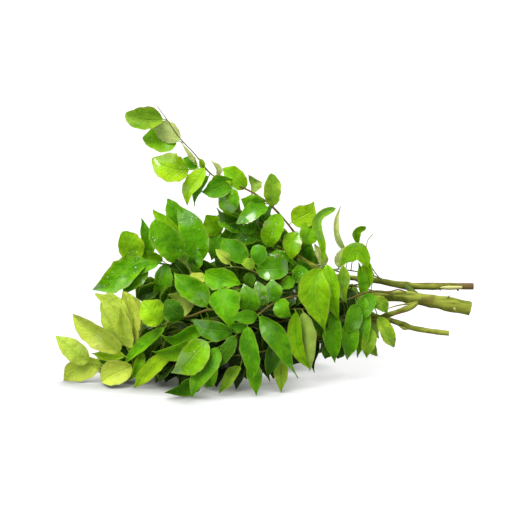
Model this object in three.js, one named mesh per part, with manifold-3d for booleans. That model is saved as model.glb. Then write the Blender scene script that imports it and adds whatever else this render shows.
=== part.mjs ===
// A bunch of cut leafy branches lying on its leaves: three woody stems whose cut ends point to +X, and the
// compound leaves that fan out from them to -X. Each compound leaf is a stalk with its leaflets, grown as
// one piece. Millimetres, +Z up. The leaflet tips that carry the bunch rest on z = 0.
import * as THREE from 'three';
import { mergeVertices } from 'three/addons/utils/BufferGeometryUtils.js';
import Module from 'manifold-3d';

const wasm = await Module();
wasm.setup();

// Driving dimensions.
const BUNCH_CENTRE = [2.984, 1.567];  // middle of the bunch's box in the layout below, x and y
const LEAFLET_THICKNESS = 0.8;      // at the midrib
const PETIOLULE_WIDTH = 1.3;        // the short stalk of a leaflet
const FOLD = 0.16;                  // how far a leaflet's margins lift above its midrib, per half width
const CLEARANCE = 0.3;              // between neighbouring pieces
const TUBE_SIDES = 5;               // of a leaf stalk
const STEM_SIDES = 9;               // of a woody stem
const STEPS_PER_POINT = 1.6;        // of a tube, for each point of its centre line
const STATIONS = [0.14, 0.38, 0.64, 0.87];  // along a leaflet's blade, where its outline is drawn
const FOOT = -1;                    // station of a leaflet's foot, inside its stalk
const SMALLEST_EDGE = 0.02;         // slivers below this are closed up where pieces join
const FILLER_TRIES = 14;            // ways in which a filler's leaflet may stand before it is left out
const FOOT_SETBACK = 4;             // how far behind its base a leaflet's foot is looked for on the stalk
const FLOOR = 0;

// How a leaflet's width runs from base to tip: base and tip powers of its outline.
const OUTLINES = {
  oval: [0.5, 0.5],
  ovate: [0.6, 0.88],
  tail: [0.75, 1.7],
  club: [0.9, 0.3],
};

// Colours of the leaves and the wood.
const TONES = {
  lime: 0x9ece1e,
  bright: 0x80b414,
  mid: 0x659c0f,
  deep: 0x50880c,
  dark: 0x3e6a08,
  pale: 0xb6ce48,
  olive: 0x7c9e28,
  silver: 0xb8ca74,
};
const WOOD = 0x7c8438;
const LEAF_ROUGHNESS = 0.45;
const WOOD_ROUGHNESS = 0.8;
const FILLER_RADII = [1.2, 0.9, 0.6];

// Woody stems: the points of each centre line from the cut end inwards, and the radius at both ends.
const STEMS = {
  stem_upper: {
    path: [[180.4, 22, 70.4], [160, 21.5, 70.6], [143, 21, 70.6], [125, 20, 71.2], [112, 19.5, 73],
      [98, 18.5, 76.2], [84, 17.5, 78], [70, 16.5, 79.6], [56, 15, 81]],
    radii: [2.6, 3, 1.9],
  },
  stem_main: {
    path: [[175.2, 0, 56], [158, 0, 59.7], [141, 0, 62.7], [125, 0, 65.3], [112, 0, 67], [90, 0, 66],
      [60, 0, 62], [25, 2, 58], [-15, 2, 54], [-50, 0, 50]],
    radii: [6, 3.7, 1.8],
  },
  stem_lower: {
    path: [[157, -6, 35.7], [141, -5, 37.4], [124, -3, 40.2], [110, 2, 44.4], [95, 8, 46.8], [70, 14, 45],
      [35, 18, 40], [0, 20, 36]],
    radii: [2.1, 2.4, 1.4],
  },
  side_branch: {
    path: [[125.8, -5.5, 59.6], [117, -9, 57], [106.5, -13, 54.5], [96.9, -16.5, 51.9], [85, -19, 46],
      [62, -22, 42], [35, -24, 38], [5, -26, 35]],
    radii: [2.3, 2, 1.1],
  },
  second_branch: {
    path: [[62, 6, 76], [53, 4, 84], [44, 3, 90.5], [33, 4, 97.5], [13, 8, 113], [-3, 12, 127],
      [-20, 16, 137], [-36, 18, 142]],
    radii: [2.2, 1.8, 0.8],
  },
};

// Compound leaves seen singly: the stalk's points from its foot to its end, the side that the leaflets
// face, and each leaflet as base, tip, width, turn about its midrib in degrees, arch, sideways bend,
// outline, tone and, where it isn't at the middle, the share of its length at which it bends most.
const SPRIGS = {
  top_leaf: {
    stalk: [[55.5, 13.5, 82], [47, 12, 86], [38.7, 10, 98], [29.3, 8, 114], [16.6, 6, 131.7],
      [1.9, 4, 147.3], [-13.9, 3, 157.8], [-28.2, 4, 163.5], [-45, 5, 170.9], [-60.7, 5, 190],
      [-71.7, 5, 201.7], [-81.6, 5, 216.4], [-90.5, 5, 228.8]],
    radii: [1.5, 1.1, 0.45],
    face: [0, -1, 0.1],
    leaflets: [
      [[-86, 4, 218.2], [-117, 2, 223.2], 18, 0, 2, -3, 'oval', 'olive'],
      [[-75, 8, 201.5], [-103.5, 9, 203.5], 21, 0, 2, -3, 'oval', 'bright'],
      [[-72.5, 3, 200], [-93, 1, 213.5], 16.5, 180, 1, -1.5, 'oval', 'silver'],
      [[-64.5, 2, 175.8], [-94.5, 0, 187.3], 22.5, 0, 3, -4, 'oval', 'lime'],
      [[-58, 6, 176.5], [-69, 8, 185.5], 10, 0, 1, 0, 'oval', 'mid'],
      [[-51, 2, 177], [-69.5, -1, 147.5], 14, 10, 2, 1, 'ovate', 'lime'],
      [[-60, 4, 180.5], [-71.5, 3, 199], 5, 50, 1, 0, 'tail', 'silver'],
      [[-48, 8, 169], [-60, 9, 142.5], 12, 35, 3, 3, 'tail', 'mid'],
      [[-29, 2, 168], [-54.5, 0, 158.5], 18, 5, 2, -3, 'ovate', 'deep'],
      [[-39.5, 3, 169.5], [-45, 2, 185], 10, 40, 1, 0, 'tail', 'silver'],
      [[-52, 4, 177], [-55.5, 3, 186], 5, 0, 1, 0, 'ovate', 'olive'],
      [[-30, 7, 165], [-42, 9, 173], 7, -40, 1, 0, 'oval', 'pale'],
      [[-17, 6, 159], [-36.5, 8, 175.5], 15, 0, 3, 1, 'oval', 'bright'],
      [[-28, 0, 162], [-31, -3, 138.5], 18, 0, 2, 1, 'oval', 'mid'],
      [[-12, 7, 153], [-13.5, 9, 170.5], 16, 140, 2, 2, 'oval', 'olive'],
      [[6.8, 4, 144.5], [4.5, 6, 172], 14, 0, 2, -1, 'oval', 'olive'],
      [[0, 1, 147], [-21, 0, 150], 17, -15, 2, -1, 'ovate', 'mid'],
      [[2, -1, 144], [-25.5, -5, 132], 15, 15, 3, 0, 'ovate', 'mid'],
      [[12.4, 2, 137.5], [1.5, -2, 110.5], 17, 0, 3, 1, 'oval', 'bright'],
      [[28, 4, 121.5], [21, -1, 99], 16, 0, 3, 1, 'ovate', 'bright'],
      [[22.5, 9, 129.5], [43.5, 11, 144.5], 19, 0, 3, 1, 'ovate', 'lime'],
      [[34, 5, 111], [40.5, 8, 131.5], 17, 0, 2, 0, 'oval', 'bright'],
      [[46, 11, 93], [37.5, 10, 106], 10, 0, 1, 0, 'ovate', 'olive'],
      [[49.5, 7.5, 90.5], [44, 5.5, 112], 9.5, 15, 1, 0, 'ovate', 'silver'],
    ],
  },
  second_leaf: {
    stalk: [[-1, 17, 120], [-12, 18, 125], [-28, 18, 127], [-50, 17, 124]],
    radii: [0.9, 0.7, 0.5],
    face: [0, -1, 0.3],
    leaflets: [
      [[-20, 12, 122], [-43, 10, 135], 18, 0, 2, 0, 'oval', 'mid'],
      [[-39, 12, 119], [-51, 10, 135.5], 16, 0, 1, 0, 'oval', 'bright'],
      [[-39, 14, 121], [-48, 7, 97], 14, 0, 2, 0, 'ovate', 'mid'],
      [[-6, 13, 122], [-23, 8, 126], 10, 0, 1, 0, 'ovate', 'deep'],
      [[-3, 13, 119], [-18, 5, 115], 13, 0, 2, 0, 'oval', 'deep'],
      [[-20, 15, 122], [-33, 10, 104], 12, 0, 2, 0, 'ovate', 'deep'],
      [[-28, 21, 130], [-24, 23, 150], 14, 0, 2, 0, 'ovate', 'deep'],
    ],
  },
  heart_leaf: {
    stalk: [[56, -2, 80], [42, -14, 88], [28, -22, 93], [14, -29, 92], [2, -34, 89], [-9, -33, 95.5],
      [-24, -30, 99], [-46, -30, 97]],
    radii: [1.1, 0.8, 0.5],
    face: [0, -1, 0.35],
    leaflets: [
      [[-16, -25, 101.5], [-37, -12, 120], 17, 0, 3, -1, 'ovate', 'deep'],
      [[-2, -25, 99], [-9, -17, 115], 13, 10, 2, 0, 'oval', 'deep'],
      [[19, -26, 96], [-8, -31, 97], 20, 0, 4, 0, 'oval', 'deep'],
      [[20, -16, 101], [3, -14, 108], 11, 15, 2, 0, 'ovate', 'mid'],
      [[31, -22, 98], [25, -28, 85], 14, 0, 2, 0, 'oval', 'mid'],
      [[24, -28, 88], [12, -33, 81], 10, 0, 2, 0, 'ovate', 'mid'],
      [[35, -25, 88], [33, -24, 70], 12, 0, 2, 0, 'ovate', 'mid'],
      [[-9, -28, 98], [-22, -25, 103], 9, 30, 2, 0, 'ovate', 'olive'],
      [[-9, -30, 92], [-17, -30, 84], 10, 0, 1, 0, 'oval', 'dark'],
      [[-30, -27, 101], [-41, -26, 114], 9, 0, 2, 0, 'ovate', 'pale'],
      [[-50, -34, 95.5], [-20, -40, 87], 18, 22, 4, 1, 'ovate', 'mid'],
      [[-50, -33, 92], [-66, -35, 86], 11, 0, 1, 0, 'oval', 'pale'],
    ],
  },
  left_leaf: {
    stalk: [[-20, -3, 80], [-45, -6, 90], [-65, -8, 94.7], [-78.6, -9, 96], [-97, -10, 99],
      [-106, -11, 101]],
    radii: [1.9, 1.4, 0.7],
    face: [0, -1, 0.25],
    leaflets: [
      [[-110, -10, 100], [-120.5, -12, 125.5], 20.5, 0, 2, 0, 'oval', 'bright'],
      [[-98, -7, 100.5], [-105.5, -6, 136], 12, 12, 2, 0, 'ovate', 'mid'],
      [[-75, -12, 99.5], [-92, -12, 136.5], 23, 0, 3, 0, 'oval', 'mid'],
      [[-73, -7, 106], [-92.5, -5, 144.5], 14, 0, 1, 1, 'ovate', 'bright'],
      [[-71, -1, 127], [-82.5, -1, 151.5], 13, 0, 2, 0, 'oval', 'mid'],
      [[-57, -5, 97], [-71, -4, 148], 23, 0, 3, 2, 'ovate', 'mid'],
      [[-60, -12, 95], [-58, -15, 110], 13, 0, 2, 0, 'oval', 'deep'],
      [[-99, -13, 100.5], [-144.5, -16, 71.5], 22, 0, 4, 0, 'ovate', 'mid'],
      [[-87, -8, 99.5], [-106, -8.5, 108], 10, 0, 1, 0, 'oval', 'bright'],
      [[-90, -17, 99], [-127, -20, 86], 10, 0, 3, 1, 'ovate', 'mid'],
      [[-99, -18, 95], [-121, -20, 72], 13, 0, 2, 1, 'ovate', 'mid'],
      [[-84, -14, 98], [-93, -20, 63], 15, 0, 3, 0, 'ovate', 'deep'],
    ],
  },
  pale_leaf: {
    stalk: [[-8, -28, 58], [-30, -38, 63], [-48, -48, 66.5], [-62, -50, 62], [-76, -44, 57.5],
      [-90, -40, 48], [-100, -38, 37], [-110, -38, 22], [-118, -38, 9]],
    radii: [1.6, 1.4, 0.8],
    face: [0, -1, 0.2],
    leaflets: [
      [[-148, -34, 19], [-174.5, -34, 42.5], 17, 0, 3, -2, 'ovate', 'pale'],
      [[-122, -42, 28.5], [-163, -42, 57], 20, 0, 3, 4, 'oval', 'pale'],
      [[-113.5, -38, 31], [-143.5, -37, 76.5], 16, 0, 2, 9, 'oval', 'pale'],
      [[-117, -36, 33], [-129.5, -35, 79], 25, 0, 2, 0, 'oval', 'pale'],
      [[-112, -33.5, 36], [-119.5, -33, 79], 22, 0, 2, 0, 'oval', 'pale'],
      [[-112, -35, 33], [-111.5, -32, 77], 27, 0, 2, -1, 'oval', 'pale'],
      [[-138, -30, 15], [-172, -24, 0], 19, -14, 4, 4, 'ovate', 'pale'],
      [[-112, -40, 17], [-138, -41, 3.5], 20, 0, 3, 0, 'oval', 'pale'],
      [[-118, -37, 24], [-146, -37, 24.5], 9, 0, 1, 0, 'ovate', 'lime'],
      [[-84, -43, 50], [-120, -41.5, 16], 11, 20, 2, 0, 'ovate', 'mid'],
      [[-103, -41, 30], [-112, -43, 3], 9, 0, 2, 0, 'ovate', 'bright'],
      [[-87, -44, 54], [-102, -44, 73], 22, 0, 3, 0, 'oval', 'lime'],
      [[-66, -42, 60], [-80, -41, 79], 22, 175, 4, 0, 'oval', 'pale'],
      [[-69, -52, 60], [-82, -52, 76], 17, 0, 2, 0, 'oval', 'dark'],
      [[-50, -62, 44], [-94, -56, 30], 17, -20, 4, 1, 'ovate', 'bright'],
      [[-49, -46, 69], [-76, -39, 96.5], 19, 0, 3, 1, 'ovate', 'mid'],
      [[-48, -59, 55], [-89, -52, 42], 14, -15, 4, 0, 'ovate', 'mid'],
    ],
  },
  front_leaf: {
    stalk: [[48, -20, 68], [30, -36, 76], [8, -51, 74], [-6.7, -60, 65.3], [-14.8, -64, 58.7],
      [-24, -68, 51], [-37, -72, 40], [-46, -74, 30]],
    radii: [1.4, 1.1, 0.6],
    face: [0, -1, 0.2],
    leaflets: [
      [[-27.5, -71, 54.5], [-61, -65, 59], 17, -20, 3, 0, 'ovate', 'deep'],
      [[-47, -76, 47], [-75.5, -83, 21], 22, 0, 4, 0, 'ovate', 'bright'],
      [[-38.5, -75, 42], [-59.7, -86, 2.9], 16, 0, 3, 2, 'ovate', 'mid'],
      [[-24.5, -72, 51], [-39, -78, 22.6], 11, 0, 2, 1, 'ovate', 'dark'],
      [[-15, -70, 58], [-10.5, -81, 14.5], 14, 0, 3, -1, 'ovate', 'deep'],
      [[6, -58, 48], [4, -57, 11.5], 13, 0, 2, 0, 'ovate', 'dark'],
      [[-5.6, -66, 65.3], [23.7, -76, 14.2], 17, 0, 4, -6, 'tail', 'deep', 0.38],
      [[-7, -62, 65.5], [-28, -68, 64], 11, -20, 2, 0, 'ovate', 'deep'],
      [[-10, -57, 68], [-17.8, -58, 91], 18, 0, 2, 0, 'ovate', 'mid'],
      [[1, -54, 73], [-8, -56, 92], 12, -15, 2, 0, 'oval', 'mid'],
      [[6, -53, 75], [5.5, -52, 93.5], 14, 10, 2, 0, 'oval', 'mid'],
      [[9.6, -52, 76], [20, -58, 62.5], 14, 0, 2, 0, 'ovate', 'mid'],
      [[-16, -67, 57], [-28, -69, 60], 9, 0, 1, 0, 'oval', 'deep'],
    ],
  },
  front_high_leaf: {
    stalk: [[30, -22, 74], [8, -36, 79], [-14, -43, 83], [-34, -46, 86]],
    radii: [0.9, 0.7, 0.5],
    face: [0, -1, 0.2],
    leaflets: [
      [[-37, -49, 84.5], [-27, -66, 50.5], 25, -8, 4, 1, 'tail', 'mid'],
      [[-12, -46, 80], [-36, -50, 74], 16, -10, 3, 0, 'ovate', 'deep'],
    ],
  },
  right_leaf: {
    stalk: [[84, 12, 75], [72, -8, 85], [60, -23, 94], [46, -29, 98.5]],
    radii: [1.3, 1.1, 0.8],
    face: [0, -1, 0.15],
    leaflets: [
      [[47, -32, 98], [53, -42, 43], 25, 0, 4, 8, 'tail', 'bright', 0.4],
      [[51, -30, 101], [59.5, -40, 53.5], 14, 0, 3, -1, 'ovate', 'bright'],
      [[65, -26, 99], [66, -31, 68], 10, 0, 2, 1, 'ovate', 'olive'],
    ],
  },
  skirt_leaf: {
    stalk: [[108, -6.5, 70.5], [98, -10, 73.5], [85, -16, 74], [72, -24, 71], [52, -32, 67], [34, -41, 66],
      [22, -46, 67]],
    radii: [1.5, 1.2, 0.6],
    face: [0, -1, 0.1],
    leaflets: [
      [[25, -48, 65], [39.1, -54, 18], 12, 0, 3, 6, 'ovate', 'bright', 0.58],
      [[31, -45, 64], [39, -51, 16], 13, 180, -3, 1, 'ovate', 'olive'],
      [[38, -37, 60], [40, -39, 14.5], 9, 12, 2, 0, 'ovate', 'dark'],
      [[46, -31, 64], [46, -32, 38], 14, 0, 2, 0, 'ovate', 'dark'],
      [[57, -31, 61], [58.3, -38, 18], 15, 0, 3, 0, 'ovate', 'deep'],
      [[76, -26, 66], [70, -34, 42], 14, 0, 3, 0, 'oval', 'deep'],
      [[70, -27, 54], [70, -35, 20], 14, 0, 2, 0, 'ovate', 'deep'],
      [[85.5, -17, 96], [62.5, -24, 98.5], 15, 0, 0, 13, 'oval', 'bright', 0.45],
      [[82, -23, 72], [79.5, -31, 20.5], 14, 0, 3, 0, 'ovate', 'mid'],
      [[90, -18, 73], [77, -30, 52], 14, 0, 3, 0, 'oval', 'deep'],
      [[89, -15, 69], [102.5, -22, 58.5], 12, 0, 2, 0, 'oval', 'olive'],
      [[82, -14, 71], [79, -14, 100], 9.5, 0, 2, 0, 'ovate', 'mid'],
      [[86, -10, 76], [84.5, -11, 104], 9, 0, 1, 1, 'oval', 'bright'],
      [[95, -21, 54], [108, -27, 28.5], 11.5, 0, 3, 0, 'oval', 'olive'],
      [[85, -28, 47], [86, -33, 21], 12, 0, 2, 0, 'ovate', 'olive'],
    ],
  },
  arched_leaf: {
    stalk: [[100, 14.5, 79], [90, 8, 84], [80, 0, 88], [70, -6, 91], [60, -6, 92], [50, -2, 90]],
    radii: [1, 0.8, 0.6],
    face: [0, -1, 0.2],
    leaflets: [
      [[47, -2, 94], [58.5, 0, 143.5], 8, 20, 2, -12.5, 'club', 'bright', 0.75],
      [[69, -4, 106], [61.8, -2, 145.5], 6, 20, 2, -10, 'ovate', 'silver'],
      [[77.5, -4, 112], [85.5, -5, 127], 8, 15, 1, -9, 'club', 'bright', 0.65],
      [[62, -9, 94], [67.5, -9, 113], 10, 0, 1, 0, 'ovate', 'silver'],
    ],
  },
  low_leaf: {
    stalk: [[30, -34, 38], [10, -46, 34], [-12, -54, 31], [-36, -58, 30], [-60, -59, 31], [-76, -57, 31.5]],
    radii: [1.1, 0.9, 0.6],
    face: [0, -1, 0.3],
    leaflets: [
      [[-78, -53, 30], [-113, -47, 3.5], 13, -15, 5, 1, 'ovate', 'lime'],
      [[-54, -64, 15.5], [-82, -78, 3.8], 17, -30, 2, 0, 'ovate', 'deep'],
      [[-40, -58, 24], [-49, -52, 0], 12, 0, 2, 0, 'ovate', 'mid'],
      [[-21, -60, 22], [-36.6, -73, 1.4], 10, 0, 2, 1, 'ovate', 'olive'],
      [[-12, -60, 24], [-8, -75, 2], 12, 0, 2, 0, 'ovate', 'mid'],
      [[11, -46, 28], [15, -64, 1.2], 12, 0, 2, 0, 'ovate', 'olive'],
    ],
  },
  under_leaf: {
    stalk: [[91, -24, 43], [83, -24, 38], [70, -25, 34], [56, -27, 31]],
    radii: [0.9, 0.8, 0.5],
    face: [0, -1, 0.2],
    leaflets: [
      [[82, -21, 35], [96, -24, 21.5], 9.5, 0, 2, 1, 'ovate', 'olive'],
      [[55, -30, 32], [51, -33, 20], 10, 0, 2, 0, 'ovate', 'dark'],
      [[64, -22, 32], [60, -18, 17], 12, 0, 2, 0, 'ovate', 'dark'],
    ],
  },
};

// Compound leaves that fill the inside, the back and the underside: the stalk's points, the number of
// leaflets, their length and width, the side that they face, and how far they hang.
const FILLERS = {
  inner_high: {
    stalk: [[40, 2, 78], [0, -8, 84], [-40, -14, 84], [-85, -18, 80]],
    count: 12, long: 32, wide: 15, face: [0, -1, 0.4], droop: 0.3, tone: 'dark',
  },
  inner_core: {
    stalk: [[30, 2, 64], [-6, 6, 70], [-40, 6, 70], [-78, 4, 66]],
    count: 12, long: 32, wide: 16, face: [0, -0.6, 0.8], droop: 0.2, tone: 'dark',
  },
  inner_front: {
    stalk: [[45, -26, 56], [10, -38, 54], [-30, -44, 48], [-68, -42, 40]],
    count: 13, long: 34, wide: 16, face: [0, -1, 0.2], droop: 0.8, tone: 'dark',
  },
  inner_low: {
    stalk: [[20, -24, 30], [-20, -28, 24], [-60, -30, 18], [-100, -28, 14]],
    count: 11, long: 32, wide: 16, face: [0, -0.4, 1], droop: 0.3, tone: 'dark',
  },
  inner_left: {
    stalk: [[-55, -4, 50], [-80, -14, 48], [-100, -20, 42], [-116, -22, 34]],
    count: 9, long: 30, wide: 16, face: [0, -1, 0.6], droop: 0.5, tone: 'mid',
  },
  inner_right: {
    stalk: [[79, 0, 77], [64, 2, 74], [44, 0, 74], [20, -6, 75]],
    count: 9, long: 28, wide: 14, face: [0, -1, 0.3], droop: 0.8, tone: 'dark',
  },
  skirt_right: {
    stalk: [[86, 4, 52], [66, -4, 48], [40, -10, 46], [10, -14, 44]],
    count: 10, long: 34, wide: 14, face: [0.2, -1, 0], droop: 1.4, tone: 'dark',
  },
  back_right: {
    stalk: [[92, 14, 66], [70, 34, 62], [44, 52, 56], [14, 64, 52]],
    count: 12, long: 36, wide: 16, face: [0.2, 1, 0.2], droop: 1.2, tone: 'mid',
  },
  back_skirt: {
    stalk: [[90, 20, 60], [87, 44, 44], [82, 62, 24], [77, 73, 9]],
    count: 9, long: 32, wide: 15, face: [0.5, 0.8, 0.6], droop: 0.5, tone: 'mid',
  },
  back_crown: {
    stalk: [[58, 22, 86], [34, 26, 92], [6, 30, 106], [-24, 28, 120]],
    count: 12, long: 32, wide: 17, face: [0, 0.7, 0.7], droop: 0.3, tone: 'mid',
  },
  back_upper: {
    stalk: [[56, 30, 76], [24, 47, 84], [-10, 54, 90], [-40, 52, 88]],
    count: 12, long: 34, wide: 17, face: [0, 1, 0.5], droop: 0.4, tone: 'bright',
  },
  back_high_left: {
    stalk: [[-40, 34, 74], [-60, 36, 82], [-76, 32, 94], [-88, 26, 98]],
    count: 9, long: 32, wide: 16, face: [-0.2, 1, 0.3], droop: 0.1, tone: 'bright',
  },
  back_middle: {
    stalk: [[50, 38, 64], [4, 60, 74], [-44, 66, 74], [-92, 58, 62]],
    count: 15, long: 36, wide: 17, face: [0, 1, 0.3], droop: 0.7, tone: 'mid',
  },
  back_lower: {
    stalk: [[30, 50, 40], [-14, 66, 44], [-58, 72, 40], [-104, 60, 32]],
    count: 14, long: 36, wide: 16, face: [0, 1, 0.1], droop: 1.1, tone: 'mid',
  },
  back_left: {
    stalk: [[-70, 30, 54], [-96, 28, 44], [-116, 20, 31], [-130, 10, 16]],
    count: 9, long: 32, wide: 17, face: [-0.3, 0.9, 0.4], droop: 0.3, tone: 'bright',
  },
  inner_under: {
    stalk: [[60, 20, 38], [30, 24, 28], [-4, 14, 22], [-40, 6, 18]],
    count: 10, long: 30, wide: 15, face: [0, -0.3, 1], droop: 0.5, tone: 'dark',
  },
  back_floor: {
    stalk: [[-30, 30, 24], [-66, 38, 20], [-104, 34, 16], [-136, 22, 13]],
    count: 11, long: 34, wide: 16, face: [0, 0.5, 1], droop: 0.25, tone: 'pale',
  },
};

// The heap of filling leaves: at each x, how low and how high it reaches at y = 0.
const HEAP = [
  [-168, -6, 10], [-148, -7, 13], [-134, -8, 24], [-124, -8, 58], [-90, -9, 62], [-86, -12, 92],
  [-84, -12, 120], [-66, -16, 136], [-60, -17, 96], [-46, -15, 94], [-42, -14, 122], [-34, -14, 150],
  [-12, -14, 158],
  [-4, -13, 140], [12, -12, 132], [24, -5, 112], [36, 4, 98], [50, 9, 88], [92, 16, 84], [104, 30, 72],
  [110, 50, 66],
];
const HEAP_LEAN = 0.2126;           // its outline sinks by this much for each millimetre towards the back

// A repeatable value from -1 to 1 for leaflet number i of a filler.
function vary(i, salt) {
  const wave = Math.sin((i + 1) * 12.9898 + salt * 78.233) * 43758.5453;
  return 2 * (wave - Math.floor(wave)) - 1;
}

const vector = (point) => new THREE.Vector3(...point);

// The direction in which a leaflet's upper side faces, square to its midrib and turned about it.
function faceOf(along, face, turn) {
  const up = vector(face);
  up.addScaledVector(along, -up.dot(along));
  if (up.lengthSq() < 1e-6) {
    up.set(0, 0, 1).addScaledVector(along, -along.z);
  }
  return up.normalize().applyAxisAngle(along, THREE.MathUtils.degToRad(turn));
}

// A closed solid as a manifold, with the doubled and the collapsed corners of its geometry removed.
function solidOf(geometry) {
  geometry.deleteAttribute('normal');
  geometry.deleteAttribute('uv');
  const merged = mergeVertices(geometry, 1e-5);
  const corners = merged.index.array;
  const kept = [];
  for (let i = 0; i < corners.length; i += 3) {
    const [a, b, c] = [corners[i], corners[i + 1], corners[i + 2]];
    if (a !== b && b !== c && c !== a) {
      kept.push(a, b, c);
    }
  }
  return { points: merged.attributes.position, triangles: new Uint32Array(kept) };
}

function manifoldOf({ points, triangles }) {
  return new wasm.Manifold(new wasm.Mesh({
    numProp: 3,
    vertProperties: new Float32Array(points.array),
    triVerts: triangles,
  }));
}

// A leaflet: a four-sided spindle of revolution, pressed flat, bent along its midrib and spread to its
// outline.
function leaflet(root, leaf, grow = 0) {
  const [base, tip, width, turn, arch, bend, outline, , crest = 0.5] = leaf;
  const [basePower, tipPower] = OUTLINES[outline];
  const start = vector(base);
  const end = vector(tip);
  const along = end.clone().sub(start).normalize();
  const up = faceOf(along, root.face, turn);
  const side = new THREE.Vector3().crossVectors(along, up);
  const haste = Math.LN2 / -Math.log(crest);
  const peak = basePower / (basePower + tipPower);
  const widest = peak ** basePower * (1 - peak) ** tipPower;
  const profile = [[0, FOOT], [1, FOOT], ...STATIONS.map((station) => [1, station]), [0, 1]]
    .map(([radius, station]) => new THREE.Vector2(radius, station));
  const shape = solidOf(new THREE.LatheGeometry(profile, 4));
  const place = new THREE.Vector3();
  for (let i = 0; i < shape.points.count; i += 1) {
    const across = shape.points.getX(i);
    const station = shape.points.getY(i);
    const above = shape.points.getZ(i);
    const onBlade = station > FOOT;
    const spread = onBlade ? station ** basePower * (1 - station) ** tipPower / widest : 0;
    const half = Math.max(spread * width, PETIOLULE_WIDTH) / 2 + grow;
    const thick = LEAFLET_THICKNESS / 2 + grow;
    const eased = onBlade ? station ** haste : 0;
    const bow = 4 * eased * (1 - eased);
    const veer = onBlade ? 4 * (1 - 2 * eased) * haste * eased / station * bend / end.distanceTo(start) : 0;
    const crossways = side.clone().addScaledVector(along, -veer).normalize();
    place.lerpVectors(onBlade ? start : vector(root.foot), end, onBlade ? station : 0);
    place.addScaledVector(up, arch * bow + FOLD * half * Math.abs(across) + thick * above);
    place.addScaledVector(side, bend * bow);
    place.addScaledVector(crossways, half * across);
    place.z = Math.max(place.z, FLOOR);
    shape.points.setXYZ(i, place.x, place.y, place.z);
  }
  return manifoldOf(shape);
}

const lineOf = (path) => new THREE.CatmullRomCurve3(path.map(vector), false, 'centripetal');
const stepsOf = (path) => Math.max(4, Math.round(STEPS_PER_POINT * path.length));
const centresOf = (path) => lineOf(path).getSpacedPoints(stepsOf(path));

// A tapering tube along a smooth line through the points.
function tube(path, radii, sides, grow = 0) {
  const line = lineOf(path);
  const steps = stepsOf(path);
  const section = new THREE.Shape();
  for (let i = 0; i < sides; i += 1) {
    const angle = 2 * Math.PI * i / sides;
    section[i === 0 ? 'moveTo' : 'lineTo'](Math.cos(angle), Math.sin(angle));
  }
  section.closePath();
  const course = { extrudePath: line, steps, bevelEnabled: false };
  const shape = solidOf(new THREE.ExtrudeGeometry(section, course));
  const centres = centresOf(path);
  const point = new THREE.Vector3();
  for (let i = 0; i < shape.points.count; i += 1) {
    point.fromBufferAttribute(shape.points, i);
    let nearest = 0;
    centres.forEach((centre, j) => {
      if (centre.distanceTo(point) < centres[nearest].distanceTo(point)) {
        nearest = j;
      }
    });
    const share = nearest / steps;
    const [first, middle, last] = radii;
    const radius = share < 0.5
      ? THREE.MathUtils.lerp(first, middle, 2 * share)
      : THREE.MathUtils.lerp(middle, last, 2 * share - 1);
    point.sub(centres[nearest]).multiplyScalar(radius + grow).add(centres[nearest]);
    shape.points.setXYZ(i, point.x, point.y, point.z);
  }
  return manifoldOf(shape);
}

// The point of a stalk from which a leaflet's short stalk springs: nearest to a point a little behind its
// base.
function footOn(path, base, tip) {
  const centres = centresOf(path);
  const target = vector(base).addScaledVector(vector(tip).sub(vector(base)).normalize(), -FOOT_SETBACK);
  const best = new THREE.Vector3(Infinity, 0, 0);
  const point = new THREE.Vector3();
  for (let i = 1; i < centres.length; i += 1) {
    const last = i === centres.length - 1;
    const piece = new THREE.Line3(centres[i - 1], centres[i]);
    const share = piece.closestPointToPointParameter(target, true);
    piece.at(THREE.MathUtils.clamp(share, i === 1 ? 0.2 : 0, last ? 0.8 : 1), point);
    if (point.distanceTo(target) < best.distanceTo(target)) {
      best.copy(point);
    }
  }
  return best.toArray();
}

// One leaflet of a filler: they stand off its stalk in pairs, with one at its end. Each further try lets it
// stray more.
function fillerLeaflet({ stalk, count, long, wide, face, droop, tone }, i, salt, stray) {
  const line = lineOf(stalk);
  const share = 0.12 + 0.88 * i / (count - 1);
  const last = i === count - 1;
  const ahead = line.getTangent(share);
  const up = faceOf(ahead, face, 0);
  const heading = ahead.clone().multiplyScalar(last ? 1 : 0.55 + 0.2 * stray * vary(i, salt));
  if (!last) {
    heading.addScaledVector(new THREE.Vector3().crossVectors(ahead, up), i % 2 ? 1 : -1);
  }
  heading.addScaledVector(up, 0.25 * stray * vary(i, salt + 1));
  heading.z -= droop;
  heading.normalize();
  const foot = line.getPoint(share).addScaledVector(heading, 3);
  const tip = foot.clone().addScaledVector(heading, long * (1 + 0.18 * vary(i, salt + 2)));
  tip.z = Math.max(tip.z, FLOOR);
  const width = wide * (1 + 0.15 * vary(i, salt + 3));
  const turn = 25 * stray * vary(i, salt + 4);
  const bend = 2 * vary(i, salt + 5);
  return [foot.toArray(), tip.toArray(), width, turn, 3, bend, i % 3 ? 'ovate' : 'tail', tone];
}

// Every leaflet of a filler, each as the list of its tries.
function fillerLeaflets(filler, order) {
  const tries = Array.from({ length: FILLER_TRIES }, (_, k) => k);
  return Array.from({ length: filler.count }, (_, i) => (
    tries.map((k) => fillerLeaflet(filler, i, 10 * order + 200 * k, 1 + 0.35 * k))));
}

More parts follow.
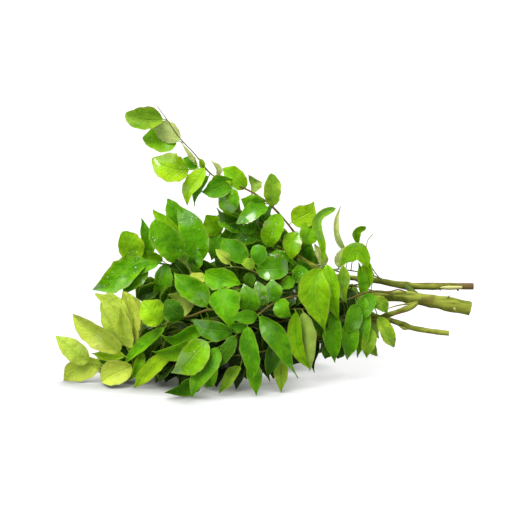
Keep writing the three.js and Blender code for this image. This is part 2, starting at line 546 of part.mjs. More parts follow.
// Whether all of a filler's leaflet lies within the heap.
function withinHeap(solid) {
  const { vertProperties } = solid.getMesh();
  for (let i = 0; i < vertProperties.length; i += 3) {
    const [x, y, z] = vertProperties.slice(i, i + 3);
    const next = HEAP.findIndex(([at]) => at > x);
    if (next < 1) {
      return false;
    }
    const [before, after] = [HEAP[next - 1], HEAP[next]];
    const share = (x - before[0]) / (after[0] - before[0]);
    const height = z + HEAP_LEAN * y;
    if (height < THREE.MathUtils.lerp(before[1], after[1], share)
      || height > THREE.MathUtils.lerp(before[2], after[2], share)) {
      return false;
    }
  }
  return true;
}

function boundsOverlap(a, b) {
  return [0, 1, 2].every((axis) => a.min[axis] <= b.max[axis] && b.min[axis] <= a.max[axis]);
}

function isClear(solid, others) {
  const box = solid.boundingBox();
  return !others.some((other) => (
    boundsOverlap(box, other.box) && solid.intersect(other.solid).volume() > 0));
}

const boxed = (solid) => ({ solid, box: solid.boundingBox() });

// All the pieces: stems first, then every stalk, then the leaflets. A leaflet is grown in the first of its
// ways that keeps clear of what belongs to another piece.
function growBunch() {
  const plants = {};
  const occupied = {};
  for (const [name, { path, radii }] of Object.entries(STEMS)) {
    plants[name] = { body: tube(path, radii, STEM_SIDES), tone: null };
    occupied[name] = [boxed(tube(path, radii, STEM_SIDES, CLEARANCE))];
  }
  const sprigs = {};
  for (const [name, sprig] of Object.entries(SPRIGS)) {
    sprigs[name] = { ...sprig, leaflets: sprig.leaflets.map((leaf) => [leaf]) };
  }
  Object.entries(FILLERS).forEach(([name, filler], order) => {
    sprigs[name] = { ...filler, radii: FILLER_RADII, leaflets: fillerLeaflets(filler, order) };
  });
  for (const [name, { stalk, radii, leaflets }] of Object.entries(sprigs)) {
    plants[name] = { body: tube(stalk, radii, TUBE_SIDES), tone: leaflets[0][0][7] };
    occupied[name] = [boxed(tube(stalk, radii, TUBE_SIDES, CLEARANCE))];
  }
  for (const [name, { stalk, face, leaflets }] of Object.entries(sprigs)) {
    const others = Object.entries(occupied)
      .filter(([owner]) => owner !== name)
      .flatMap(([, solids]) => solids);
    const plant = plants[name];
    for (const tries of leaflets) {
      for (const leaf of tries) {
        const root = { foot: footOn(stalk, leaf[0], leaf[1]), face };
        const solid = leaflet(root, leaf);
        if (isClear(solid, others) && (name in SPRIGS || withinHeap(solid))) {
          plant.body = plant.body.add(solid);
          occupied[name].push(boxed(leaflet(root, leaf, CLEARANCE)));
          break;
        }
      }
    }
  }
  return plants;
}

function meshOf(name, { body, tone }) {
  const bodies = body.asOriginal().simplify(SMALLEST_EDGE).decompose();
  bodies.sort((a, b) => b.volume() - a.volume());
  const { vertProperties, triVerts, numProp } = bodies[0].getMesh();
  const geometry = new THREE.BufferGeometry();
  const points = new THREE.BufferAttribute(new Float32Array(vertProperties), numProp);
  geometry.setAttribute('position', points);
  geometry.setIndex(new THREE.BufferAttribute(new Uint32Array(triVerts), 1));
  const mesh = new THREE.Mesh(geometry, new THREE.MeshStandardMaterial({
    color: tone ? TONES[tone] : WOOD,
    roughness: tone ? LEAF_ROUGHNESS : WOOD_ROUGHNESS,
    metalness: 0,
  }));
  mesh.name = name;
  return mesh;
}

const bunch = new THREE.Group();
bunch.position.set(-BUNCH_CENTRE[0], -BUNCH_CENTRE[1], 0);
for (const [name, plant] of Object.entries(growBunch())) {
  bunch.add(meshOf(name, plant));
}

export default bunch;
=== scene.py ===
"""A bunch of cut leafy branches lying on its leaves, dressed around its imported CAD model.

Each compound leaf is grown from a bare skeleton: the centre line of its stalk, and one point for each
leaflet, which carries the leaflet's measures. Geometry Nodes turn it into a tube and closed, curved blades.
"""

import math
from collections import namedtuple

import bpy
import numpy as np
from mathutils import Matrix, Vector, kdtree


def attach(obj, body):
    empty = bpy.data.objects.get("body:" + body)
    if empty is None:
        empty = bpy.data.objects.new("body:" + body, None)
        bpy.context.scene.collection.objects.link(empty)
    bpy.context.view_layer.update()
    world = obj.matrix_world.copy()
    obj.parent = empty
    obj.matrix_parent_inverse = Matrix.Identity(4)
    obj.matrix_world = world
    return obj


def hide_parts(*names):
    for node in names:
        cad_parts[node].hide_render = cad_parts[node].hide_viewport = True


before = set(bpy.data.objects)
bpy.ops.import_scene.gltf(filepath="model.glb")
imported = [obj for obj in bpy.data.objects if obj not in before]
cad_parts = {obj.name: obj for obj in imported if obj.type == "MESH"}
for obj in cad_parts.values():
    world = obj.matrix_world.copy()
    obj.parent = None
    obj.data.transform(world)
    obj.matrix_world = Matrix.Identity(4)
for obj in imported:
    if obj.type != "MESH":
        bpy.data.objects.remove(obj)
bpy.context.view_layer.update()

MM = 0.001


# ---------------------------------------------------------------- the layout, in millimetres, as in the part

BUNCH_CENTRE = [2.984, 1.567]  # the middle of the bunch, seen from above

# How a leaflet's width runs: the powers of its outline at the base and at the tip.
OUTLINES = {
    "oval": [0.5, 0.5],
    "ovate": [0.6, 0.88],
    "tail": [0.75, 1.7],
    "club": [0.9, 0.3],
}
BLUNT = ("oval", "club")

# Woody stems: the centre line's points from the cut end inwards, and its radii at start, middle and end.
STEMS = {
    "stem_upper": (
        [[180.4, 22, 70.4], [160, 21.5, 70.6], [143, 21, 70.6], [125, 20, 71.2], [112, 19.5, 73],
         [98, 18.5, 76.2], [84, 17.5, 78], [70, 16.5, 79.6], [56, 15, 81]],
        [2.6, 3, 1.9]),
    "stem_main": (
        [[175.2, 0, 56], [158, 0, 59.7], [141, 0, 62.7], [125, 0, 65.3], [112, 0, 67], [90, 0, 66],
         [60, 0, 62], [25, 2, 58], [-15, 2, 54], [-50, 0, 50]],
        [6, 3.7, 1.8]),
    "stem_lower": (
        [[157, -6, 35.7], [141, -5, 37.4], [124, -3, 40.2], [110, 2, 44.4], [95, 8, 46.8], [70, 14, 45],
         [35, 18, 40], [0, 20, 36]],
        [2.1, 2.4, 1.4]),
    "side_branch": (
        [[125.8, -5.5, 59.6], [117, -9, 57], [106.5, -13, 54.5], [96.9, -16.5, 51.9], [85, -19, 46],
         [62, -22, 42], [35, -24, 38], [5, -26, 35]],
        [2.3, 2, 1.1]),
    "second_branch": (
        [[62, 6, 76], [53, 4, 84], [44, 3, 90.5], [33, 4, 97.5], [13, 8, 113], [-3, 12, 127],
         [-20, 16, 137], [-36, 18, 142]],
        [2.2, 1.8, 0.8]),
}

# A leaflet bends sideways, most at its crest, a share of its length, and turns about its midrib, in degrees.
MEASURES = "base tip width arch tone outline bend turn crest"
Leaflet = namedtuple("Leaflet", MEASURES, defaults=["ovate", 0, 0, 0.5])

# Compound leaves seen singly: the stalk's points and radii, the side that its leaflets face, and these.
SPRIGS = {
    "top_leaf": [
        [[55.5, 13.5, 82], [47, 12, 86], [38.7, 10, 98], [29.3, 8, 114], [16.6, 6, 131.7],
         [1.9, 4, 147.3], [-13.9, 3, 157.8], [-28.2, 4, 163.5], [-45, 5, 170.9], [-60.7, 5, 190],
         [-71.7, 5, 201.7], [-81.6, 5, 216.4], [-90.5, 5, 228.8]],
        [1.5, 1.1, 0.45],
        [0, -1, 0.1],
        [[-86, 4, 218.2], [-117, 2, 223.2], 18, 2, "olive", "oval", -3],
        [[-75, 8, 201.5], [-103.5, 9, 203.5], 21, 2, "bright", "oval", -3],
        [[-72.5, 3, 200], [-93, 1, 213.5], 16.5, 1, "silver", "oval", -1.5, 180],
        [[-64.5, 2, 175.8], [-94.5, 0, 187.3], 22.5, 3, "lime", "oval", -4],
        [[-58, 6, 176.5], [-69, 8, 185.5], 10, 1, "mid", "oval"],
        [[-51, 2, 177], [-69.5, -1, 147.5], 14, 2, "lime", "ovate", 1, 10],
        [[-60, 4, 180.5], [-71.5, 3, 199], 5, 1, "silver", "tail", 0, 50],
        [[-48, 8, 169], [-60, 9, 142.5], 12, 3, "mid", "tail", 3, 35],
        [[-29, 2, 168], [-54.5, 0, 158.5], 18, 2, "deep", "ovate", -3, 5],
        [[-39.5, 3, 169.5], [-45, 2, 185], 10, 1, "silver", "tail", 0, 40],
        [[-52, 4, 177], [-55.5, 3, 186], 5, 1, "olive"],
        [[-30, 7, 165], [-42, 9, 173], 7, 1, "pale", "oval", 0, -40],
        [[-17, 6, 159], [-36.5, 8, 175.5], 15, 3, "bright", "oval", 1],
        [[-28, 0, 162], [-31, -3, 138.5], 18, 2, "mid", "oval", 1],
        [[-12, 7, 153], [-13.5, 9, 170.5], 16, 2, "olive", "oval", 2, 140],
        [[6.8, 4, 144.5], [4.5, 6, 172], 14, 2, "olive", "oval", -1],
        [[0, 1, 147], [-21, 0, 150], 17, 2, "mid", "ovate", -1, -15],
        [[2, -1, 144], [-25.5, -5, 132], 15, 3, "mid", "ovate", 0, 15],
        [[12.4, 2, 137.5], [1.5, -2, 110.5], 17, 3, "bright", "oval", 1],
        [[28, 4, 121.5], [21, -1, 99], 16, 3, "bright", "ovate", 1],
        [[22.5, 9, 129.5], [43.5, 11, 144.5], 19, 3, "lime", "ovate", 1],
        [[34, 5, 111], [40.5, 8, 131.5], 17, 2, "bright", "oval"],
        [[46, 11, 93], [37.5, 10, 106], 10, 1, "olive"],
        [[49.5, 7.5, 90.5], [44, 5.5, 112], 9.5, 1, "silver", "ovate", 0, 15],
    ],
    "second_leaf": [
        [[-1, 17, 120], [-12, 18, 125], [-28, 18, 127], [-50, 17, 124]],
        [0.9, 0.7, 0.5],
        [0, -1, 0.3],
        [[-20, 12, 122], [-43, 10, 135], 18, 2, "mid", "oval"],
        [[-39, 12, 119], [-51, 10, 135.5], 16, 1, "bright", "oval"],
        [[-39, 14, 121], [-48, 7, 97], 14, 2, "mid"],
        [[-6, 13, 122], [-23, 8, 126], 10, 1, "deep"],
        [[-3, 13, 119], [-18, 5, 115], 13, 2, "deep", "oval"],
        [[-20, 15, 122], [-33, 10, 104], 12, 2, "deep"],
        [[-28, 21, 130], [-24, 23, 150], 14, 2, "deep"],
    ],
    "heart_leaf": [
        [[56, -2, 80], [42, -14, 88], [28, -22, 93], [14, -29, 92], [2, -34, 89], [-9, -33, 95.5],
         [-24, -30, 99], [-46, -30, 97]],
        [1.1, 0.8, 0.5],
        [0, -1, 0.35],
        [[-16, -25, 101.5], [-37, -12, 120], 17, 3, "deep", "ovate", -1],
        [[-2, -25, 99], [-9, -17, 115], 13, 2, "deep", "oval", 0, 10],
        [[19, -26, 96], [-8, -31, 97], 20, 4, "deep", "oval"],
        [[20, -16, 101], [3, -14, 108], 11, 2, "mid", "ovate", 0, 15],
        [[31, -22, 98], [25, -28, 85], 14, 2, "mid", "oval"],
        [[24, -28, 88], [12, -33, 81], 10, 2, "mid"],
        [[35, -25, 88], [33, -24, 70], 12, 2, "mid"],
        [[-9, -28, 98], [-22, -25, 103], 9, 2, "olive", "ovate", 0, 30],
        [[-9, -30, 92], [-17, -30, 84], 10, 1, "dark", "oval"],
        [[-30, -27, 101], [-41, -26, 114], 9, 2, "pale"],
        [[-50, -34, 95.5], [-20, -40, 87], 18, 4, "mid", "ovate", 1, 22],
        [[-50, -33, 92], [-66, -35, 86], 11, 1, "pale", "oval"],
    ],
    "left_leaf": [
        [[-20, -3, 80], [-45, -6, 90], [-65, -8, 94.7], [-78.6, -9, 96], [-97, -10, 99],
         [-106, -11, 101]],
        [1.9, 1.4, 0.7],
        [0, -1, 0.25],
        [[-110, -10, 100], [-120.5, -12, 125.5], 20.5, 2, "bright", "oval"],
        [[-98, -7, 100.5], [-105.5, -6, 136], 12, 2, "mid", "ovate", 0, 12],
        [[-75, -12, 99.5], [-92, -12, 136.5], 23, 3, "mid", "oval"],
        [[-73, -7, 106], [-92.5, -5, 144.5], 14, 1, "bright", "ovate", 1],
        [[-71, -1, 127], [-82.5, -1, 151.5], 13, 2, "mid", "oval"],
        [[-57, -5, 97], [-71, -4, 148], 23, 3, "mid", "ovate", 2],
        [[-60, -12, 95], [-58, -15, 110], 13, 2, "deep", "oval"],
        [[-99, -13, 100.5], [-144.5, -16, 71.5], 22, 4, "mid"],
        [[-87, -8, 99.5], [-106, -8.5, 108], 10, 1, "bright", "oval"],
        [[-90, -17, 99], [-127, -20, 86], 10, 3, "mid", "ovate", 1],
        [[-99, -18, 95], [-121, -20, 72], 13, 2, "mid", "ovate", 1],
        [[-84, -14, 98], [-93, -20, 63], 15, 3, "deep"],
    ],
    "pale_leaf": [
        [[-8, -28, 58], [-30, -38, 63], [-48, -48, 66.5], [-62, -50, 62], [-76, -44, 57.5],
         [-90, -40, 48], [-100, -38, 37], [-110, -38, 22], [-118, -38, 9]],
        [1.6, 1.4, 0.8],
        [0, -1, 0.2],
        [[-148, -34, 19], [-174.5, -34, 42.5], 17, 3, "pale", "ovate", -2],
        [[-122, -42, 28.5], [-163, -42, 57], 20, 3, "pale", "oval", 4],
        [[-113.5, -38, 31], [-143.5, -37, 76.5], 16, 2, "pale", "oval", 9],
        [[-117, -36, 33], [-129.5, -35, 79], 25, 2, "pale", "oval"],
        [[-112, -33.5, 36], [-119.5, -33, 79], 22, 2, "pale", "oval"],
        [[-112, -35, 33], [-111.5, -32, 77], 27, 2, "pale", "oval", -1],
        [[-138, -30, 15], [-172, -24, 0], 19, 4, "pale", "ovate", 4, -14],
        [[-112, -40, 17], [-138, -41, 3.5], 20, 3, "pale", "oval"],
        [[-118, -37, 24], [-146, -37, 24.5], 9, 1, "lime"],
        [[-84, -43, 50], [-120, -41.5, 16], 11, 2, "mid", "ovate", 0, 20],
        [[-103, -41, 30], [-112, -43, 3], 9, 2, "bright"],
        [[-87, -44, 54], [-102, -44, 73], 22, 3, "lime", "oval"],
        [[-66, -42, 60], [-80, -41, 79], 22, 4, "pale", "oval", 0, 175],
        [[-69, -52, 60], [-82, -52, 76], 17, 2, "dark", "oval"],
        [[-50, -62, 44], [-94, -56, 30], 17, 4, "bright", "ovate", 1, -20],
        [[-49, -46, 69], [-76, -39, 96.5], 19, 3, "mid", "ovate", 1],
        [[-48, -59, 55], [-89, -52, 42], 14, 4, "mid", "ovate", 0, -15],
    ],
    "front_leaf": [
        [[48, -20, 68], [30, -36, 76], [8, -51, 74], [-6.7, -60, 65.3], [-14.8, -64, 58.7],
         [-24, -68, 51], [-37, -72, 40], [-46, -74, 30]],
        [1.4, 1.1, 0.6],
        [0, -1, 0.2],
        [[-27.5, -71, 54.5], [-61, -65, 59], 17, 3, "deep", "ovate", 0, -20],
        [[-47, -76, 47], [-75.5, -83, 21], 22, 4, "bright"],
        [[-38.5, -75, 42], [-59.7, -86, 2.9], 16, 3, "mid", "ovate", 2],
        [[-24.5, -72, 51], [-39, -78, 22.6], 11, 2, "dark", "ovate", 1],
        [[-15, -70, 58], [-10.5, -81, 14.5], 14, 3, "deep", "ovate", -1],
        [[6, -58, 48], [4, -57, 11.5], 13, 2, "dark"],
        [[-5.6, -66, 65.3], [23.7, -76, 14.2], 17, 4, "deep", "tail", -6, 0, 0.38],
        [[-7, -62, 65.5], [-28, -68, 64], 11, 2, "deep", "ovate", 0, -20],
        [[-10, -57, 68], [-17.8, -58, 91], 18, 2, "mid"],
        [[1, -54, 73], [-8, -56, 92], 12, 2, "mid", "oval", 0, -15],
        [[6, -53, 75], [5.5, -52, 93.5], 14, 2, "mid", "oval", 0, 10],
        [[9.6, -52, 76], [20, -58, 62.5], 14, 2, "mid"],
        [[-16, -67, 57], [-28, -69, 60], 9, 1, "deep", "oval"],
    ],
    "front_high_leaf": [
        [[30, -22, 74], [8, -36, 79], [-14, -43, 83], [-34, -46, 86]],
        [0.9, 0.7, 0.5],
        [0, -1, 0.2],
        [[-37, -49, 84.5], [-27, -66, 50.5], 25, 4, "mid", "tail", 1, -8],
        [[-12, -46, 80], [-36, -50, 74], 16, 3, "deep", "ovate", 0, -10],
    ],
    "right_leaf": [
        [[84, 12, 75], [72, -8, 85], [60, -23, 94], [46, -29, 98.5]],
        [1.3, 1.1, 0.8],
        [0, -1, 0.15],
        [[47, -32, 98], [53, -42, 43], 25, 4, "bright", "tail", 8, 0, 0.4],
        [[51, -30, 101], [59.5, -40, 53.5], 14, 3, "bright", "ovate", -1],
        [[65, -26, 99], [66, -31, 68], 10, 2, "olive", "ovate", 1],
    ],
    "skirt_leaf": [
        [[108, -6.5, 70.5], [98, -10, 73.5], [85, -16, 74], [72, -24, 71], [52, -32, 67], [34, -41, 66],
         [22, -46, 67]],
        [1.5, 1.2, 0.6],
        [0, -1, 0.1],
        [[25, -48, 65], [39.1, -54, 18], 12, 3, "bright", "ovate", 6, 0, 0.58],
        [[31, -45, 64], [39, -51, 16], 13, -3, "olive", "ovate", 1, 180],
        [[38, -37, 60], [40, -39, 14.5], 9, 2, "dark", "ovate", 0, 12],
        [[46, -31, 64], [46, -32, 38], 14, 2, "dark"],
        [[57, -31, 61], [58.3, -38, 18], 15, 3, "deep"],
        [[76, -26, 66], [70, -34, 42], 14, 3, "deep", "oval"],
        [[70, -27, 54], [70, -35, 20], 14, 2, "deep"],
        [[85.5, -17, 96], [62.5, -24, 98.5], 15, 0, "bright", "oval", 13, 0, 0.45],
        [[82, -23, 72], [79.5, -31, 20.5], 14, 3, "mid"],
        [[90, -18, 73], [77, -30, 52], 14, 3, "deep", "oval"],
        [[89, -15, 69], [102.5, -22, 58.5], 12, 2, "olive", "oval"],
        [[82, -14, 71], [79, -14, 100], 9.5, 2, "mid"],
        [[86, -10, 76], [84.5, -11, 104], 9, 1, "bright", "oval", 1],
        [[95, -21, 54], [108, -27, 28.5], 11.5, 3, "olive", "oval"],
        [[85, -28, 47], [86, -33, 21], 12, 2, "olive"],
    ],
    "arched_leaf": [
        [[100, 14.5, 79], [90, 8, 84], [80, 0, 88], [70, -6, 91], [60, -6, 92], [50, -2, 90]],
        [1, 0.8, 0.6],
        [0, -1, 0.2],
        [[47, -2, 94], [58.5, 0, 143.5], 8, 2, "bright", "club", -12.5, 20, 0.75],
        [[69, -4, 106], [61.8, -2, 145.5], 6, 2, "silver", "ovate", -10, 20],
        [[77.5, -4, 112], [85.5, -5, 127], 8, 1, "bright", "club", -9, 15, 0.65],
        [[62, -9, 94], [67.5, -9, 113], 10, 1, "silver"],
    ],
    "low_leaf": [
        [[30, -34, 38], [10, -46, 34], [-12, -54, 31], [-36, -58, 30], [-60, -59, 31], [-76, -57, 31.5]],
        [1.1, 0.9, 0.6],
        [0, -1, 0.3],
        [[-78, -53, 30], [-113, -47, 3.5], 13, 5, "lime", "ovate", 1, -15],
        [[-54, -64, 15.5], [-82, -78, 3.8], 17, 2, "deep", "ovate", 0, -30],
        [[-40, -58, 24], [-49, -52, 0], 12, 2, "mid"],
        [[-21, -60, 22], [-36.6, -73, 1.4], 10, 2, "olive", "ovate", 1],
        [[-12, -60, 24], [-8, -75, 2], 12, 2, "mid"],
        [[11, -46, 28], [15, -64, 1.2], 12, 2, "olive"],
    ],
    "under_leaf": [
        [[91, -24, 43], [83, -24, 38], [70, -25, 34], [56, -27, 31]],
        [0.9, 0.8, 0.5],
        [0, -1, 0.2],
        [[82, -21, 35], [96, -24, 21.5], 9.5, 2, "olive", "ovate", 1],
        [[55, -30, 32], [51, -33, 20], 10, 2, "dark"],
        [[64, -22, 32], [60, -18, 17], 12, 2, "dark"],
    ],
}

# Compound leaves that fill the inside, the back and the underside. Most of those inside take the dark tone,
# which there is partly painted shade.
Filler = namedtuple("Filler", "stalk count long wide face droop tone")
FILLERS = {
    "inner_high": Filler(
        [[40, 2, 78], [0, -8, 84], [-40, -14, 84], [-85, -18, 80]],
        12, 32, 15, [0, -1, 0.4], 0.3, "dark"),
    "inner_core": Filler(
        [[30, 2, 64], [-6, 6, 70], [-40, 6, 70], [-78, 4, 66]],
        12, 32, 16, [0, -0.6, 0.8], 0.2, "dark"),
    "inner_front": Filler(
        [[45, -26, 56], [10, -38, 54], [-30, -44, 48], [-68, -42, 40]],
        13, 34, 16, [0, -1, 0.2], 0.8, "dark"),
    "inner_low": Filler(
        [[20, -24, 30], [-20, -28, 24], [-60, -30, 18], [-100, -28, 14]],
        11, 32, 16, [0, -0.4, 1], 0.3, "dark"),
    "inner_left": Filler(
        [[-55, -4, 50], [-80, -14, 48], [-100, -20, 42], [-116, -22, 34]],
        9, 30, 16, [0, -1, 0.6], 0.5, "mid"),
    "inner_right": Filler(
        [[79, 0, 77], [64, 2, 74], [44, 0, 74], [20, -6, 75]],
        9, 28, 14, [0, -1, 0.3], 0.8, "dark"),
    "skirt_right": Filler(
        [[86, 4, 52], [66, -4, 48], [40, -10, 46], [10, -14, 44]],
        10, 34, 14, [0.2, -1, 0], 1.4, "dark"),
    "back_right": Filler(
        [[92, 14, 66], [70, 34, 62], [44, 52, 56], [14, 64, 52]],
        12, 36, 16, [0.2, 1, 0.2], 1.2, "mid"),
    "back_skirt": Filler(
        [[90, 20, 60], [87, 44, 44], [82, 62, 24], [77, 73, 9]],
        9, 32, 15, [0.5, 0.8, 0.6], 0.5, "mid"),
    "back_crown": Filler(
        [[58, 22, 86], [34, 26, 92], [6, 30, 106], [-24, 28, 120]],
        12, 32, 17, [0, 0.7, 0.7], 0.3, "mid"),
    "back_upper": Filler(
        [[56, 30, 76], [24, 47, 84], [-10, 54, 90], [-40, 52, 88]],
        12, 34, 17, [0, 1, 0.5], 0.4, "bright"),
    "back_high_left": Filler(
        [[-40, 34, 74], [-60, 36, 82], [-76, 32, 94], [-88, 26, 98]],
        9, 32, 16, [-0.2, 1, 0.3], 0.1, "bright"),
    "back_middle": Filler(
        [[50, 38, 64], [4, 60, 74], [-44, 66, 74], [-92, 58, 62]],
        15, 36, 17, [0, 1, 0.3], 0.7, "mid"),
    "back_lower": Filler(
        [[30, 50, 40], [-14, 66, 44], [-58, 72, 40], [-104, 60, 32]],
        14, 36, 16, [0, 1, 0.1], 1.1, "mid"),
    "back_left": Filler(
        [[-70, 30, 54], [-96, 28, 44], [-116, 20, 31], [-130, 10, 16]],
        9, 32, 17, [-0.3, 0.9, 0.4], 0.3, "bright"),
    "inner_under": Filler(
        [[60, 20, 38], [30, 24, 28], [-4, 14, 22], [-40, 6, 18]],
        10, 30, 15, [0, -0.3, 1], 0.5, "dark"),
    "back_floor": Filler(
        [[-30, 30, 24], [-66, 38, 20], [-104, 34, 16], [-136, 22, 13]],
        11, 34, 16, [0, 0.5, 1], 0.25, "pale"),
}

# Clusters of leaflets between the singly seen leaves, which the part doesn't need: they close the gaps that
# light would show through.
INFILLS = {
    "crown_infill": Filler(
        [[50, 8, 84], [28, 9, 96], [4, 9, 112], [-18, 11, 128]],
        16, 24, 15, [0, -1, 0.3], 0.2, "deep"),
    "middle_infill": Filler(
        [[62, -4, 74], [22, -15, 82], [-18, -20, 82], [-58, -18, 82]],
        18, 26, 16, [0, -1, 0.3], 0.3, "deep"),
    "front_infill": Filler(
        [[50, -22, 54], [6, -36, 52], [-36, -42, 46], [-76, -38, 40]],
        20, 28, 16, [0, -1, 0.2], 1.0, "dark"),
    "low_infill": Filler(
        [[62, -16, 38], [14, -32, 34], [-34, -36, 29], [-80, -32, 25]],
        20, 26, 16, [0, -1, 0.2], 0.8, "dark"),
}

# How the part grows a filler's leaflets, in millimetres and degrees. What strays does so either way.
FILLER_RADII = [1.2, 0.9, 0.6]
FIRST_LEAFLET = 0.12  # its place along the stalk, as a share
LEAN, STRAY_LEAN = 0.55, 0.2  # towards the stalk's end
STRAY_LIFT = 0.25  # towards the side that it faces
FOOT_GAP = 3
STRAY_LENGTH, STRAY_WIDTH = 0.18, 0.15  # as shares of its length and width
FILLER_TURN, FILLER_ARCH, FILLER_BEND = 25, 3, 2
FILLER_TRIES = 14
TRY_STRAY = 0.35  # how much more each try strays
FOOT_SETBACK = 4  # how far behind its base a leaflet's foot is looked for on the stalk
FOOT_MARGIN = 0.2  # of the stalk's first and last steps, left free at its ends
STEPS_PER_POINT = 1.6  # of a stalk's tube in the part, for each point of its centre line
TIP_MATCH = 0.1  # how near a vertex of the part lies to the tip of a leaflet that it grew

# Where the repeatable values start by which leaflets differ, and the step from one leaf to the next.
SPRIG_SALT, FILLER_SALT, INFILL_SALT, LEAF_STEP = 300, 700, 1200, 20
# The same for those by which they stand on a stalk: a filler's own start at 0.
EXTRA_PLACES, INFILL_PLACES, FILLER_STEP, TRY_STEP = 5000, 9000, 10, 200

# More leaflets for the fillers deep inside, where the part needs none: they close the heap to the light.
EXTRA_LAYERS = 2
EXTRA_SHORTER, EXTRA_BROADER = 0.7, 1.2
EXTRA_STRAY, INFILL_STRAY = 1.6, 1.5

# How dark the hidden leaves inside the heap are painted, as a share of their tone: painted shade.
INSIDE_PAINTED_SHADE = {
    **{"inner_high": 0.35, "inner_core": 0.35, "inner_left": 0.35, "inner_right": 0.3},
    **{"inner_front": 0.18, "inner_low": 0.15, "inner_under": 0.15, "skirt_right": 0.6},
    **{"crown_infill": 0.6, "middle_infill": 0.4, "front_infill": 0.2, "low_infill": 0.2},
}

# A leaflet's skin, finer than the part's: shares along its blade, and columns from margin to margin.
FINE_SKIN = (
    [0, 0.04, 0.09, 0.15, 0.22, 0.29, 0.36, 0.44, 0.52, 0.59, 0.66, 0.73, 0.79, 0.85, 0.9, 0.94, 0.975, 1],
    [-1.0, -0.55, 0.0, 0.55, 1.0],
)
PLAIN_SKIN = ([0, 0.1, 0.22, 0.36, 0.5, 0.64, 0.77, 0.88, 0.96, 1], [-1.0, 0.0, 1.0])
PETIOLULE_ROWS = [0.0, 0.5]  # shares along its short stalk
BLADE_THICKNESS, PETIOLULE_WIDTH = 0.45, 0.9
BROADER = 1.08  # than in the part, whose few facets cut the outline's corners
PINCH_FROM, HOOK_FROM = 0.72, 0.68  # shares of the blade from which its tip narrows and hooks
RAGGED = 0.32  # how uneven a margin is
TEETH, TOOTHED = 9, 0.07  # along a margin, and how far they stand out
RIPPLES, RIPPLED = 14, 0.09  # the same of its waves, up and down
UNTWISTED = 0.35  # the share of the blade at which it isn't twisted
FOLD_POWER = 1.25  # how much more a blade bends up near its margins

# How leaflets differ, each by its own repeatable value. Lengths are shares of the leaflet's length.
STRAY_TURN = 20  # degrees about the midrib from the part's
FOLD, STRAY_FOLD = 0.4, 0.7
FOLD_MORE_ABOVE = 0.6  # the value above which a blade is folded further
TWIST = 0.75  # in radians
CURL, STRAY_CURL = 0.05, 0.09  # how far the tip droops
SWAY = 0.03  # of the midrib to either side
HOOK, BLUNT_HOOK = 0.1, 0.35  # of the tip to a side, and the share of that on a blunt tip
LOP = 0.34  # how differently the halves of the blade are shaped
PINCH, STRAY_PINCH = 0.35, 0.25  # how much the tip is narrowed
STRAY_PHASE = 3
DULL_GLOSS = 0.8  # the strongest shine of a leaflet that isn't glossy
STRAY_LIGHT, STRAY_WARMTH = 0.1, 0.08

# The leaflets with the strongest shine, and with drops of water on them, which are painted pale as glints.
GLOSSY = {
    "top_leaf": [2, 3, 13, 16, 17, 18, 19],
    "second_leaf": [0, 4, 5],
    "heart_leaf": [2, 3, 4, 6],
    "left_leaf": [0, 2, 5, 7, 8, 9],
    "front_leaf": [1, 9, 10],
}

STALK_SIDES = 8
STALK_STEPS = 4  # for each point of a stalk's centre line
STALK_SLIMMER = 0.62  # than in the part
JOINT_SWELL, JOINT_REACH = 0.35, 1.6  # of a stalk where a leaflet springs from it
STEM_SIDES = 20
STEM_STEP = 2.0
STEM_UNEVEN, TWIG_UNEVEN = 0.0005, 0.0002  # in metres

# Points inside its parent stem at which a branch begins, before the first of its layout.
ROOTS = {"side_branch": [130, -2.5, 63]}

# Where a stem swells at a bud or a joint, and by how much.
KNOTS = {
    "stem_upper": [([160, 21.5, 71.4], 0.5), ([123, 20, 72.7], 0.9), ([146, 21, 71.6], 0.4)],
    "stem_main": [([155, 0, 61.5], 0.9), ([161, 0, 60], 0.7), ([124, -2, 66], 1.2), ([142, 0, 64], 0.5)],
    "stem_lower": [([119, -2, 42], 0.9), ([148, -5.5, 37.4], 0.3)],
    "side_branch": [([118, -8, 59.5], 0.6), ([102, -14, 54.8], 0.5)],
    "second_branch": [([44, 3, 90.5], 0.6)],
}
KNOT_REACH = 4.0  # along the stem

